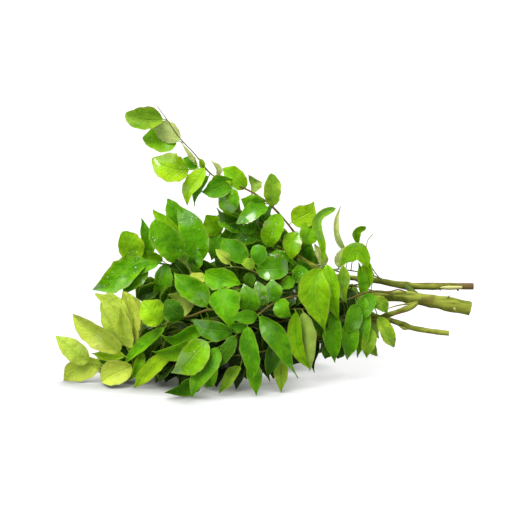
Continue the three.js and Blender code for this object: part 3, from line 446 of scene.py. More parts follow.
# Twigs, buds and scars of the stems: their lines, radii at the start, middle and end, and sRGB colours.
TWIGS = {
    "brown_twig": (
        [[57.6, -2, 79.8], [72, -3, 77.4], [85.6, -4, 74.1], [97.4, -6.5, 72.1], [105.9, -6.5, 72.5],
         [112.8, -5, 73.9], [119.8, -3, 71.3]],
        [0.5, 0.6, 0.5], (112, 72, 44)),
    "green_twig": (
        [[130, -4, 64], [125.8, -5, 62.1], [114.5, -8, 61.1], [104, -12, 59], [98.8, -14, 56.5]],
        [1.2, 0.55, 0.4], (146, 152, 62)),
    "bent_stalk": (
        [[85.6, -10, 102.4], [90.5, -4, 92.4], [99.6, 12, 78.3]],
        [0.5, 0.45, 0.6], (132, 148, 62)),
    "dry_stalk": (
        [[90.7, -6, 122.2], [86.5, -6, 117.1], [84.8, -8, 108.9], [84, -9, 102.2]],
        [0.3, 0.4, 0.5], (168, 172, 118)),
    "crossing": (
        [[121, 19, 72], [124, 12, 70.5], [127, 6, 69], [130, 2, 67]],
        [2.2, 2.2, 2.6], (84, 104, 28)),
    "pale_bud": (
        [[159.2, -4.5, 59.4], [161.2, -5.5, 57.4], [162.6, -5, 55.1]],
        [0.2, 1.3, 0.3], (206, 208, 120)),
    "top_bud": (
        [[154.2, -2, 64], [156.2, -2.5, 66.8], [157.5, -2.5, 68.1]],
        [0.8, 0.9, 0.3], (118, 112, 50)),
    "lower_bud": (
        [[114.3, -4.5, 41.7], [119, -5, 39.7], [122.9, -4.5, 39.1]],
        [0.4, 1.5, 0.5], (150, 160, 62)),
    "first_stub": (
        [[150.7, 20, 70.7], [152, 19.5, 67.3]],
        [1.0, 0.8, 0.5], (150, 146, 76)),
    "second_stub": (
        [[165.4, 20, 70.7], [167.6, 19.5, 66.8]],
        [1.1, 0.9, 0.6], (110, 94, 54)),
    "peeled_strip": (
        [[148, 19.4, 70.3], [159.3, 19.3, 70.1], [170.6, 19.6, 70.2]],
        [0.6, 1.9, 1.1], (218, 218, 138)),
    "dry_line": (
        [[112, 19.2, 75.4], [125, 19.8, 73.5], [143, 20.6, 73], [160, 21, 72.6], [178, 21.6, 72.2]],
        [0.5, 1.0, 1.0], (108, 92, 46)),
    "brown_side": (
        [[128, -6, 60.8], [117, -10.5, 56.4], [106.5, -14.5, 53.7], [98, -17.5, 51.4]],
        [0.8, 1.0, 0.6], (128, 86, 44)),
    "dry_end": (
        [[162, 21.5, 70.6], [171, 21.8, 70.5], [180.7, 22, 70.4]],
        [2.0, 2.85, 2.85], (116, 98, 54)),
}

# sRGB colours of the leaflets' upper sides, and of their stalks.
TONES = {
    "lime": (167, 218, 27),
    "bright": (134, 194, 12),
    "mid": (102, 170, 6),
    "deep": (83, 149, 4),
    "dark": (64, 117, 4),
    "pale": (196, 221, 80),
    "olive": (135, 175, 38),
    "silver": (208, 222, 136),
}
STALK_TONE = (112, 124, 44)
STALK_TONES = {"top_leaf": (120, 100, 56), "second_branch": (110, 84, 44), "front_leaf": (120, 108, 50)}


def linear(srgb):
    """An sRGB colour of 0 to 255 as the linear colour of a node."""
    values = [c / 255 for c in srgb]
    return [v / 12.92 if v <= 0.04045 else ((v + 0.055) / 1.055) ** 2.4 for v in values]


def vary(i, salt):
    """A repeatable value from -1 to 1, the same as the part's."""
    wave = math.sin((i + 1) * 12.9898 + salt * 78.233) * 43758.5453
    return 2 * (wave - math.floor(wave)) - 1


def placed(point):
    """A point of the layout in the part's own frame, in metres."""
    return (Vector(point) - Vector((*BUNCH_CENTRE, 0))) * MM


# ---------------------------------------------------------------- the part's curves and leaflets


class Line:
    """The part's smooth line through given points: a centripetal Catmull-Rom curve."""

    LENGTH_STEPS = 200
    TANGENT_STEP = 0.0001

    def __init__(self, points):
        self.points = [Vector(p) for p in points]

    def point(self, share):
        points = self.points
        place = (len(points) - 1) * share
        at = min(int(place), len(points) - 2)
        weight = place - at
        p1, p2 = points[at], points[at + 1]
        p0 = points[at - 1] if at > 0 else 2 * p1 - p2
        p3 = points[at + 2] if at + 2 < len(points) else 2 * p2 - p1
        pairs = ((p0, p1), (p1, p2), (p2, p3))
        d0, d1, d2 = (max((b - a).length_squared ** 0.25, 1e-4) for a, b in pairs)
        start = ((p1 - p0) / d0 - (p2 - p0) / (d0 + d1) + (p2 - p1) / d1) * d1
        end = ((p2 - p1) / d1 - (p3 - p1) / (d1 + d2) + (p3 - p2) / d2) * d1
        square = -3 * p1 + 3 * p2 - 2 * start - end
        cube = 2 * p1 - 2 * p2 + start + end
        return p1 + start * weight + square * weight**2 + cube * weight**3

    def tangent(self, share):
        ahead = self.point(min(share + self.TANGENT_STEP, 1))
        return (ahead - self.point(max(share - self.TANGENT_STEP, 0))).normalized()

    def spaced(self, steps):
        """Points at even distances along the line, both ends included."""
        shares = np.linspace(0, 1, self.LENGTH_STEPS + 1)
        fine = [self.point(i / self.LENGTH_STEPS) for i in range(self.LENGTH_STEPS + 1)]
        lengths = [0.0]
        for a, b in zip(fine, fine[1:]):
            lengths.append(lengths[-1] + (b - a).length)
        places = np.interp(np.linspace(0, lengths[-1], steps + 1), lengths, shares)
        return [self.point(float(place)) for place in places]


def face_of(along, face, turn):
    """The direction in which a leaflet's upper side faces, square to its midrib and turned about it."""
    up = Vector(face)
    up -= along * up.dot(along)
    if up.length_squared < 1e-6:
        up = Vector((0, 0, 1)) - along * along.z
    return Matrix.Rotation(math.radians(turn), 3, along) @ up.normalized()


def foot_on(stalk, base, tip):
    """The point of a stalk from which a leaflet's short stalk springs."""
    centres = Line(stalk).spaced(max(4, round(STEPS_PER_POINT * len(stalk))))
    base, tip = Vector(base), Vector(tip)
    target = base - (tip - base).normalized() * FOOT_SETBACK
    last = len(centres) - 2
    points = []
    for i, (a, b) in enumerate(zip(centres, centres[1:])):
        share = (target - a).dot(b - a) / (b - a).length_squared
        lowest = FOOT_MARGIN if i == 0 else 0.0
        highest = 1.0 - FOOT_MARGIN if i == last else 1.0
        points.append(a.lerp(b, min(max(share, lowest), highest)))
    return min(points, key=lambda point: (point - target).length)


def filler_leaflet(filler, i, salt, stray):
    """One leaflet of a filler, as the part tries it: in pairs along the stalk, with one at its end."""
    line = Line(filler.stalk)
    share = FIRST_LEAFLET + (1 - FIRST_LEAFLET) * i / (filler.count - 1)
    last = i == filler.count - 1
    ahead = line.tangent(share)
    up = face_of(ahead, filler.face, 0)
    heading = ahead * (1 if last else LEAN + STRAY_LEAN * stray * vary(i, salt))
    if not last:
        heading += ahead.cross(up) * (1 if i % 2 else -1)
    heading += up * STRAY_LIFT * stray * vary(i, salt + 1)
    heading.z -= filler.droop
    heading.normalize()
    foot = line.point(share) + FOOT_GAP * heading
    tip = foot + heading * filler.long * (1 + STRAY_LENGTH * vary(i, salt + 2))
    tip.z = max(tip.z, 0)
    width = filler.wide * (1 + STRAY_WIDTH * vary(i, salt + 3))
    turn = FILLER_TURN * stray * vary(i, salt + 4)
    bend = FILLER_BEND * vary(i, salt + 5)
    outline = "ovate" if i % 3 else "tail"
    return Leaflet(foot, tip, width, FILLER_ARCH, filler.tone, outline, bend, turn)


def grown_leaflets(name, order):
    """The leaflets that the part grew on a filler, told by the vertices that its solid has at their tips."""
    filler = FILLERS[name]
    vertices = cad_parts[name].data.vertices
    tree = kdtree.KDTree(len(vertices))
    for vertex in vertices:
        tree.insert(vertex.co / MM, vertex.index)
    tree.balance()
    grown = []
    for i in range(filler.count):
        for k in range(FILLER_TRIES):
            leaflet = filler_leaflet(filler, i, FILLER_STEP * order + TRY_STEP * k, 1 + TRY_STRAY * k)
            if tree.find(placed(leaflet.tip) / MM)[2] < TIP_MATCH:
                grown.append(leaflet)
                break
    return grown


def extra_leaflets(filler, order):
    """Shorter, broader leaflets that a filler has in the scene alone."""
    extra = []
    for k in range(EXTRA_LAYERS):
        for i in range(filler.count):
            salt = EXTRA_PLACES + FILLER_STEP * order + TRY_STEP * k
            long = filler_leaflet(filler, i, salt, EXTRA_STRAY)
            tip = long.base + (long.tip - long.base) * EXTRA_SHORTER
            extra.append(long._replace(tip=tip, width=long.width * EXTRA_BROADER))
    return extra


# ---------------------------------------------------------------- formulas as nodes


def feed(tree, node, inputs):
    """Links a node's inputs to fields and sockets, or sets them to plain values."""
    for key, value in inputs.items():
        if isinstance(value, Field):
            value = value.socket
        if isinstance(value, bpy.types.NodeSocket):
            tree.links.new(value, node.inputs[key])
        else:
            node.inputs[key].default_value = value


def node_in(tree, kind, inputs=None, **settings):
    """A new node with its settings and its inputs."""
    node = tree.nodes.new(kind)
    for name, value in settings.items():
        setattr(node, name, value)
    feed(tree, node, inputs or {})
    return node


class Field:
    """A number or a vector on its way through a node tree, so that a formula can be written as one."""

    def __init__(self, tree, socket, vector=False):
        self.tree = tree
        self.socket = socket
        self.vector = vector

    def math(self, operation, *others):
        return number_from(self.tree, operation, self, *others)

    def vmath(self, operation, *others, output="Vector", **inputs):
        inputs.update(enumerate((self, *others)))
        node = node_in(self.tree, "ShaderNodeVectorMath", inputs, operation=operation)
        return Field(self.tree, node.outputs[output], output == "Vector")

    def length(self):
        return self.vmath("LENGTH", output="Value")

    def __add__(self, other):
        return self.vmath("ADD", other) if self.vector else self.math("ADD", other)

    def __sub__(self, other):
        return self.vmath("SUBTRACT", other) if self.vector else self.math("SUBTRACT", other)

    def __rsub__(self, other):
        return number_from(self.tree, "SUBTRACT", other, self)

    def __mul__(self, other):
        return self.vmath("SCALE", Scale=other) if self.vector else self.math("MULTIPLY", other)

    def __truediv__(self, other):
        return self.math("DIVIDE", other)

    def __pow__(self, other):
        return self.math("POWER", other)

    __radd__ = __add__
    __rmul__ = __mul__


def number_from(tree, operation, *inputs):
    """The number that an operation makes of others."""
    node = node_in(tree, "ShaderNodeMath", dict(enumerate(inputs)), operation=operation)
    return Field(tree, node.outputs[0])


def ramp(tree, value, low, high):
    """0 below low and 1 above high, smooth between them."""
    inputs = {"Value": value, "From Min": low, "From Max": high}
    node = node_in(tree, "ShaderNodeMapRange", inputs, interpolation_type="SMOOTHSTEP")
    return Field(tree, node.outputs["Result"])


def named(tree, name, kind="FLOAT"):
    """A named attribute of the geometry."""
    node = node_in(tree, "GeometryNodeInputNamedAttribute", {"Name": name}, data_type=kind)
    return Field(tree, node.outputs["Attribute"], kind == "FLOAT_VECTOR")


def new_tree(name, kind, inputs, outputs):
    """An empty node tree with named inputs and outputs: itself, its inputs by name, and its output node."""
    tree = bpy.data.node_groups.new(name, kind)
    for label, socket_type, value in inputs:
        socket = tree.interface.new_socket(label, in_out="INPUT", socket_type=socket_type)
        if value is not None:
            socket.default_value = value
    for label, socket_type in outputs:
        tree.interface.new_socket(label, in_out="OUTPUT", socket_type=socket_type)
    given = tree.nodes.new("NodeGroupInput")
    return tree, {s.name: s for s in given.outputs}, tree.nodes.new("NodeGroupOutput")


def growing_tree(name, inputs):
    """An empty Geometry Nodes tree."""
    shape = ("Geometry", "NodeSocketGeometry")
    return new_tree(name, "GeometryNodeTree", [(*shape, None), *inputs], [shape])


def grow(obj, tree, **values):
    """Runs a tree on an object's mesh and keeps the result as the object's plain mesh."""
    modifier = obj.modifiers.new(tree.name, "NODES")
    modifier.node_group = tree
    for item in tree.interface.items_tree:
        if item.in_out == "INPUT" and item.name in values:
            modifier[item.identifier] = values[item.name]
    evaluated = obj.evaluated_get(bpy.context.evaluated_depsgraph_get())
    mesh = bpy.data.meshes.new_from_object(evaluated)
    obj.modifiers.remove(modifier)
    obj.data = mesh


def linked(name, data):
    """A new object in the scene."""
    obj = bpy.data.objects.new(name, data)
    bpy.context.scene.collection.objects.link(obj)
    return obj


# ---------------------------------------------------------------- materials

SIDE_VEINS = 8  # on each half of a leaflet
PATCH_SCALE = 95
WAX_FROM, WAX_TO = 0.54, 0.64  # in its noise
# Sunnier and more shaded copies of a leaflet's tone, for painted light and shade: in blotches, where it is
# partly the leaf's own mottling too, and beside the midrib.
SUNNY, SHADED = (1.36, 1.22, 1.1, 1), (0.58, 0.72, 0.5, 1)  # by which a tone is multiplied
# How much paler the margin is painted: a painted lit rim.
PAINTED_RIM_LIGHT = 0.22
# How near white the drops of water are painted: a painted glint.
PAINTED_DROP_GLINT = 0.75


def new_material(name, roughness, specular):
    """A material with its Principled shader."""
    material = bpy.data.materials.new(name)
    material.use_nodes = True
    tree = material.node_tree
    shader = tree.nodes["Principled BSDF"]
    feed(tree, shader, {"Roughness": roughness, "Specular IOR Level": specular})
    return material, tree, shader


def opaque(*srgb):
    """An sRGB colour of 0 to 255 as the colour of a socket."""
    return (*linear(srgb), 1)


def mixed(tree, factor, first, second, blend="MIX"):
    """A colour between two others."""
    inputs = {0: factor, 6: first, 7: second}
    return node_in(tree, "ShaderNodeMix", inputs, data_type="RGBA", blend_type=blend).outputs[2]


def channel(tree, color, name):
    """One channel of a colour."""
    return Field(tree, node_in(tree, "ShaderNodeSeparateColor", {"Color": color}).outputs[name])


def attribute(tree, name, output):
    """What a material reads from an attribute of the mesh."""
    return node_in(tree, "ShaderNodeAttribute", attribute_name=name).outputs[output]


def object_place(tree):
    """Object coordinates, in which the objects' metres are the unit."""
    return tree.nodes.new("ShaderNodeTexCoord").outputs["Object"]


def noise(tree, scale, detail=2.0, stretch=(1, 1, 1)):
    """Noise on Object coordinates."""
    mapping = node_in(tree, "ShaderNodeMapping", {"Vector": object_place(tree), "Scale": stretch})
    inputs = {"Vector": mapping.outputs["Vector"], "Scale": scale, "Detail": detail}
    return Field(tree, node_in(tree, "ShaderNodeTexNoise", inputs).outputs["Fac"])


def bumpy(tree, shader, height, strength, distance):
    """Gives a material small bumps."""
    inputs = {"Height": height, "Strength": strength, "Distance": distance}
    feed(tree, shader, {"Normal": node_in(tree, "ShaderNodeBump", inputs).outputs["Normal"]})


def leaf_markings():
    """The midrib, side veins, patches, wax and drops of a leaflet as masks, the crease beside the midrib
    where shade is painted and the margin where a lit rim is painted, and the height of its relief.
    """
    number = "NodeSocketFloat"
    labels = ("Midrib", "Veins", "Patches", "Wax", "Drops", "Margin", "Groove Shade", "Height")
    given = [("Side Veins", number, SIDE_VEINS), ("Patch Scale", number, PATCH_SCALE)]
    outputs = [(label, number) for label in labels]
    group, put, out = new_tree("Leaf markings", "ShaderNodeTree", given, outputs)
    uv = node_in(group, "ShaderNodeUVMap", uv_map="UVMap")
    split = node_in(group, "ShaderNodeSeparateXYZ", {"Vector": uv.outputs["UV"]})
    along = Field(group, split.outputs["X"])
    across = (Field(group, split.outputs["Y"]) * 2 - 1).math("ABSOLUTE")
    patches = noise(group, put["Patch Scale"], 2)
    midrib = 1 - ramp(group, across, 0.01, 0.07)
    places = along * Field(group, put["Side Veins"]) - across * 2.4 + patches * 1.5
    wave = (places * (2 * math.pi)).math("SINE")
    reach = ramp(group, across, 0.04, 0.2) * (1 - ramp(group, across, 0.6, 0.9))
    veins = ramp(group, wave, 0.7, 1.0) * reach
    cells = node_in(group, "ShaderNodeTexVoronoi", {"Vector": object_place(group), "Scale": 330.0})
    drops = 1 - ramp(group, cells.outputs["Distance"], 0.14, 0.24)
    drops = drops * ramp(group, noise(group, 70, 1), 0.52, 0.6)
    puckers = noise(group, 120, 1) * 3.5 + noise(group, 260, 2) * 1.5
    height = puckers + veins * -0.4 + midrib * -0.9 + noise(group, 900, 1) * 0.15 + drops
    groove_shade = (1 - ramp(group, across, 0.1, 0.5)) * ramp(group, patches, 0.35, 0.6)
    margin = ramp(group, across, 0.8, 1.0)
    fields = (midrib, veins, patches, noise(group, 45, 1), drops, margin, groove_shade, height)
    feed(group, out, dict(zip(labels, fields)))
    return group


MARKINGS = leaf_markings()


def leaf_material(name, roughness, rib, vein, patch, groove_shade, pallor, bump, wax):
    """A leaflet's skin over its own tone. Rib and vein are how much paler those lines are, patch how far the
    tone wanders into sunnier and more shaded blotches, partly its own mottling and partly painted light and
    shade, groove_shade how much darker it is painted beside the midrib as shade in the crease, pallor how
    far it goes to the greyish green of an underside, and wax how much of it may shine."""
    material, tree, shader = new_material(name, roughness, 0.1)
    tone = attribute(tree, "tone", "Color")
    marks = node_in(tree, "ShaderNodeGroup", node_tree=MARKINGS)
    feed(tree, marks, {"Side Veins": SIDE_VEINS, "Patch Scale": PATCH_SCALE})
    marks = {s.name: Field(tree, s) for s in marks.outputs}
    color = mixed(tree, pallor, tone, opaque(176, 200, 104))
    sunny = mixed(tree, 1.0, color, SUNNY, "MULTIPLY")
    shaded = mixed(tree, 1.0, color, SHADED, "MULTIPLY")
    patch = patch * (1 - ramp(tree, channel(tree, tone, "Green"), 0.4, 0.6) * 0.75)
    # Blotches of the sunny and the shaded copy: partly the leaf's own mottling, partly painted light and
    # shade.
    color = mixed(tree, ramp(tree, marks["Patches"], 0.5, 0.66) * patch, color, sunny)
    color = mixed(tree, (1 - ramp(tree, marks["Patches"], 0.34, 0.5)) * patch, color, shaded)
    # Painted shade in the crease beside the midrib.
    color = mixed(tree, marks["Groove Shade"] * groove_shade, color, shaded)
    lines = (marks["Midrib"] * rib + marks["Veins"] * vein).math("MINIMUM", 1.0)
    color = mixed(tree, lines, color, opaque(190, 212, 88))
    # A painted lit rim along the margin.
    color = mixed(tree, marks["Margin"] * PAINTED_RIM_LIGHT, color, opaque(196, 220, 90))
    if wax:
        gloss = Field(tree, attribute(tree, "gloss", "Fac"))
        wet = ramp(tree, gloss, 0.8, 1.0) * marks["Drops"]
        shine = (gloss * ramp(tree, marks["Wax"], WAX_FROM, WAX_TO) * wax).math("MAXIMUM", wet)
        feed(tree, shader, {"Coat Weight": shine, "Coat Roughness": 0.16, "Coat IOR": 1.75})
        # The drops painted near white: a painted glint on the water.
        color = mixed(tree, wet * PAINTED_DROP_GLINT, color, opaque(236, 248, 214))
    feed(tree, shader, {
        "Base Color": color,
        "Subsurface Weight": 0.35,
        "Subsurface Radius": (0.6, 1.0, 0.15),
        "Subsurface Scale": 0.0015,
    })
    bumpy(tree, shader, marks["Height"], bump, 0.0005)
    return material


def stalk_material():
    """Green stalks with brownish stains, which fade on the palest."""
    material, tree, shader = new_material("Leaf stalk", 0.6, 0.25)
    tone = attribute(tree, "tone", "Color")
    stains = ramp(tree, noise(tree, 90, 2), 0.42, 0.6)
    stains = stains * (1 - ramp(tree, channel(tree, tone, "Red"), 0.35, 0.55))
    feed(tree, shader, {"Base Color": mixed(tree, stains * 0.6, tone, opaque(106, 68, 38))})
    return material


def bark_material():
    """Thin grey-green bark: lengthwise streaks, darker scars and pale breathing pores."""
    material, tree, shader = new_material("Green bark", 0.75, 0.25)
    streaks = noise(tree, 150, 4, (0.22, 1.5, 1.5))
    scars = noise(tree, 60, 2)
    pores = noise(tree, 900, 1)
    color = mixed(tree, ramp(tree, streaks, 0.38, 0.6), opaque(92, 104, 24), opaque(156, 166, 56))
    color = mixed(tree, ramp(tree, scars, 0.48, 0.7) * 0.65, color, opaque(98, 84, 36))
    color = mixed(tree, ramp(tree, pores, 0.66, 0.74) * 0.5, color, opaque(192, 186, 122))
    feed(tree, shader, {"Base Color": color})
    bumpy(tree, shader, streaks * 0.6 + pores * 0.4, 0.5, 0.0006)
    return material


def cut_wood_material():
    """The dry, mottled wood of a cut end."""
    material, tree, shader = new_material("Cut wood", 0.85, 0.3)
    mottle = ramp(tree, noise(tree, 400, 3), 0.35, 0.65)
    feed(tree, shader, {"Base Color": mixed(tree, mottle, opaque(150, 130, 84), opaque(112, 92, 58))})
    return material


LEAF_UPPER = leaf_material(
    "Leaf upper side", 0.38, rib=0.16, vein=0.06, patch=0.9, groove_shade=0.35, pallor=0.0, bump=0.9, wax=0.9
)
LEAF_UNDER = leaf_material(
    "Leaf underside", 0.6, rib=0.4, vein=0.15, patch=0.4, groove_shade=0.0, pallor=0.45, bump=0.7, wax=0.0
)
LEAF_STALK = stalk_material()
BARK = bark_material()
CUT_WOOD = cut_wood_material()


# ---------------------------------------------------------------- growing trees


def blade_template(name, blade_rows, columns):
    """A leaflet's closed skin, in measures of its own: q along its short stalk, t along its blade, u across
    it and s above it."""
    rows = [(q, 0.0) for q in PETIOLULE_ROWS] + [(1.0, t) for t in blade_rows]
    upper = len(columns)
    vertices, faces = [], []
    ring = [(u, 1) for u in columns] + [(u, -1) for u in reversed(columns[1:-1])]
    for q, t in rows[:-1]:
        vertices += [(q, t, u, s * math.sqrt(1 - u * u)) for u, s in ring]
    count = len(ring)
    for r in range(len(rows) - 2):
        for c in range(count):
            near, far = r * count, (r + 1) * count
            around = (c + 1) % count
            corners = (near + c, near + around, far + around, far + c)
            # Both sides of the thin blade are split along the same line, so that neither shows through.
            split = ((0, 1, 2), (0, 2, 3)) if c < upper - 1 else ((0, 1, 3), (1, 2, 3))
            faces += [tuple(corners[i] for i in half) for half in split]
    tip = len(vertices)
    vertices.append((1.0, 1.0, 0.0, 0.0))
    start = (len(rows) - 2) * count
    faces += [(start + c, start + (c + 1) % count, tip) for c in range(count)]
    faces.append(tuple(reversed(range(count))))
    mesh = bpy.data.meshes.new(name)
    mesh.from_pydata([(0, 0, 0)] * len(vertices), [], faces)
    mesh.shade_smooth()
    for key, values in zip("qtus", zip(*vertices)):
        mesh.attributes.new("skin_" + key, "FLOAT", "POINT").data.foreach_set("value", values)
    below = mesh.attributes.new("below", "FLOAT", "FACE").data
    for face, value in zip(faces, below):
        places = {i % count for i in face if i != tip}
        value.value = float(max(places) >= upper or {0, upper - 1} <= places)
    sharp = mesh.attributes.new("sharp_edge", "BOOLEAN", "EDGE").data
    for edge, value in zip(mesh.edges, sharp):
        places = {i % count if i != tip else -1 for i in edge.vertices}
        value.value = places <= {0, -1} or places <= {upper - 1, -1}
    return bpy.data.objects.new(name, mesh)


def tube_along(tree, edges, sides):
    """A closed tube along edges, as thick as their thickness attribute says."""
    curve = node_in(tree, "GeometryNodeMeshToCurve", {"Mesh": edges})
    ring = node_in(tree, "GeometryNodeCurvePrimitiveCircle", {"Resolution": sides, "Radius": 1.0})
    inputs = {"Curve": curve.outputs[0], "Profile Curve": ring.outputs[0], "Fill Caps": True}
    return node_in(tree, "GeometryNodeCurveToMesh", {**inputs, "Scale": named(tree, "thickness")})


def skinned(tree, shape, material, selection=True):
    """Geometry with a material on it or on a selection of its faces."""
    inputs = {"Geometry": shape.outputs[0], "Selection": selection, "Material": material}
    return node_in(tree, "GeometryNodeSetMaterial", inputs)


LEAFLET_MEASURES = (
    *("width", "arch", "bend", "fold", "base_power", "tip_power", "crest", "twist"),
    *("curl", "sway", "hook", "lop", "pinch", "phase"),
)
LEAFLET_POINTS = ("base", "tip", "foot", "up")


def leaf_tree():
    """Grows a compound leaf: its edges become the stalk's tube and its loose points the leaflets."""
    tree, put, out = growing_tree("Grow compound leaf", [
        ("Leaflet", "NodeSocketObject", None),
        ("Blade Thickness", "NodeSocketFloat", BLADE_THICKNESS * MM),
        ("Short Stalk Width", "NodeSocketFloat", PETIOLULE_WIDTH * MM),
        ("Upper Side", "NodeSocketMaterial", None),
        ("Underside", "NodeSocketMaterial", None),
        ("Stalk Skin", "NodeSocketMaterial", None),
    ])
    inputs = {"Geometry": put["Geometry"], "Selection": named(tree, "is_leaflet")}
    parts = node_in(tree, "GeometryNodeSeparateGeometry", inputs)
    stalk = skinned(tree, tube_along(tree, parts.outputs["Inverted"], STALK_SIDES), put["Stalk Skin"])

    leaflet = node_in(tree, "GeometryNodeObjectInfo", {"Object": put["Leaflet"]})
    inputs = {"Points": parts.outputs["Selection"], "Instance": leaflet.outputs["Geometry"]}
    blades = node_in(tree, "GeometryNodeInstanceOnPoints", inputs)
    blades = node_in(tree, "GeometryNodeRealizeInstances", {"Geometry": blades.outputs[0]})
    q, t, u, s = (named(tree, "skin_" + key) for key in "qtus")
    base, tip, foot, up = (named(tree, key, "FLOAT_VECTOR") for key in LEAFLET_POINTS)
    width, arch, bend, fold, base_power, tip_power, crest, twist, curl, sway, hook, lop, pinch, phase = (
        named(tree, key) for key in LEAFLET_MEASURES
    )
    stalk_depth = Field(tree, put["Short Stalk Width"]) * 0.5
    blade_depth = Field(tree, put["Blade Thickness"]) * 0.5
    chord = tip - base
    along = chord.vmath("NORMALIZE")
    across = along.vmath("CROSS_PRODUCT", up)
    edge = u.math("ABSOLUTE")

    # Half the width: each half of the blade is broadest in its own place and has its own uneven margin.
    peak = base_power / (base_power + tip_power)
    widest = peak**base_power * (1 - peak) ** tip_power
    inner = t.math("MAXIMUM", 0.0001).math("MINIMUM", 0.9999)
    skewed = inner + lop * u * inner * (1 - inner)
    spread = skewed**base_power * (1 - skewed) ** tip_power / widest
    spread = spread * (1 - ramp(tree, t, PINCH_FROM, 1.0) * pinch)
    spot = node_in(tree, "ShaderNodeCombineXYZ", {"X": t * 5, "Y": phase + u * 0.6, "Z": phase * 3})
    grain = node_in(tree, "ShaderNodeTexNoise", {"Vector": spot.outputs[0], "Scale": 1.8, "Detail": 3.0})
    teeth = ((t * TEETH + phase).math("FRACT") - 0.5) * edge * TOOTHED
    ragged = (Field(tree, grain.outputs[0]) - 0.5) * edge * RAGGED + teeth + 1
    half = spread * ragged * (lop * u * 0.3 + 1) * width * 0.5
    half = half.math("MAXIMUM", stalk_depth) * (1 - ramp(tree, t, 0.985, 1.0))

    # The midrib's own course, and how the blade turns about it.
    eased = inner**crest
    bow = eased * (1 - eased) * 4
    veer = bend * (1 - eased * 2) * crest * eased * 4 / inner / chord.length()
    veer = veer.math("MINIMUM", 2).math("MAXIMUM", -2)
    swing = (t * (2 * math.pi)).math("SINE") * sway
    turn = (t - UNTWISTED) * twist
    side = across * turn.math("COSINE") + up * turn.math("SINE")
    top = up * turn.math("COSINE") - across * turn.math("SINE")
    ripple = (t * RIPPLES + phase + u * 2).math("SINE") * edge * RIPPLED
    rise = arch * bow + half * (edge**FOLD_POWER) * fold + half * ripple - t * t * t * curl

    on_blade = ramp(tree, t, 0.0, 0.12)
    depth = stalk_depth * (1 - on_blade) + blade_depth * on_blade
    control = base - along * ((base - foot).length() * 0.45)
    short_stalk = foot * ((1 - q) ** 2) + control * (q * (1 - q) * 2) + base * (q * q) - base
    place = (
        base
        + chord * t
        + short_stalk
        + across * (bend * bow + swing + hook * ramp(tree, t, HOOK_FROM, 1.0))
        + (side - along * veer).vmath("NORMALIZE") * (half * u)
        + top * (rise + depth * s)
    )
    parted = node_in(tree, "ShaderNodeSeparateXYZ", {"Vector": place})
    above = Field(tree, parted.outputs["Z"]).math("MAXIMUM", 0.0)
    inputs = {"X": parted.outputs["X"], "Y": parted.outputs["Y"], "Z": above}
    grounded = node_in(tree, "ShaderNodeCombineXYZ", inputs).outputs[0]
    inputs = {"Geometry": blades.outputs[0], "Position": grounded}
    shaped = node_in(tree, "GeometryNodeSetPosition", inputs)
    uv = node_in(tree, "ShaderNodeCombineXYZ", {"X": t, "Y": u * 0.5 + 0.5})
    inputs = {"Geometry": shaped.outputs[0], "Name": "UVMap", "Value": uv.outputs[0]}
    kind = {"data_type": "FLOAT2", "domain": "CORNER"}
    mapped = node_in(tree, "GeometryNodeStoreNamedAttribute", inputs, **kind)
    upper = skinned(tree, mapped, put["Upper Side"])
    under = skinned(tree, upper, put["Underside"], named(tree, "below"))
    joined = tree.nodes.new("GeometryNodeJoinGeometry")
    tree.links.new(under.outputs[0], joined.inputs[0])
    tree.links.new(stalk.outputs[0], joined.inputs[0])
    smooth = node_in(tree, "GeometryNodeSetShadeSmooth", {"Geometry": joined.outputs[0]})
    tree.links.new(smooth.outputs[0], out.inputs[0])
    return tree


def stem_tree():
    """Grows a woody stem: its edges become an uneven tube whose ends are cut."""
    tree, put, out = growing_tree("Grow stem", [
        ("Unevenness", "NodeSocketFloat", STEM_UNEVEN),
        ("Bark", "NodeSocketMaterial", None),
        ("Cut Wood", "NodeSocketMaterial", None),
    ])
    tube = tube_along(tree, put["Geometry"], STEM_SIDES)
    coarse = node_in(tree, "ShaderNodeTexNoise", {"Scale": 110.0, "Detail": 3.0})
    normal = Field(tree, tree.nodes.new("GeometryNodeInputNormal").outputs[0], True)
    bumps = (Field(tree, coarse.outputs[0]) - 0.5) * 2 * Field(tree, put["Unevenness"])
    inputs = {"Geometry": tube.outputs[0], "Offset": normal * bumps}
    uneven = node_in(tree, "GeometryNodeSetPosition", inputs)
    corners = tree.nodes.new("GeometryNodeInputMeshFaceNeighbors").outputs["Vertex Count"]
    is_end = Field(tree, corners).math("GREATER_THAN", 4.5)
    ends = skinned(tree, skinned(tree, uneven, put["Bark"]), put["Cut Wood"], is_end)
    inputs = {"Geometry": ends.outputs[0], "Selection": 1 - is_end}
    smooth = node_in(tree, "GeometryNodeSetShadeSmooth", inputs)
    tree.links.new(smooth.outputs[0], out.inputs[0])
    return tree


FINE_LEAFLET = blade_template("Fine leaflet", *FINE_SKIN)
PLAIN_LEAFLET = blade_template("Plain leaflet", *PLAIN_SKIN)
LEAF_TREE = leaf_tree()
STEM_TREE = stem_tree()


# ---------------------------------------------------------------- leaves and stems


def skeleton(name, points, centre_count, floats, vectors, tones):
    """A mesh of points with named attributes, the first of them joined to a centre line."""
    mesh = bpy.data.meshes.new(name)
    mesh.from_pydata(points, [(i, i + 1) for i in range(centre_count - 1)], [])
    colors = {"tone": [(*tone, 1.0) for tone in tones]}
    for kind, key, table in (
        ("FLOAT", "value", floats), ("FLOAT_VECTOR", "vector", vectors), ("FLOAT_COLOR", "color", colors)
    ):
        for label, values in table.items():
            data = mesh.attributes.new(label, kind, "POINT").data
            data.foreach_set(key, np.array(values, dtype=np.float32).ravel())
    return linked(name, mesh)


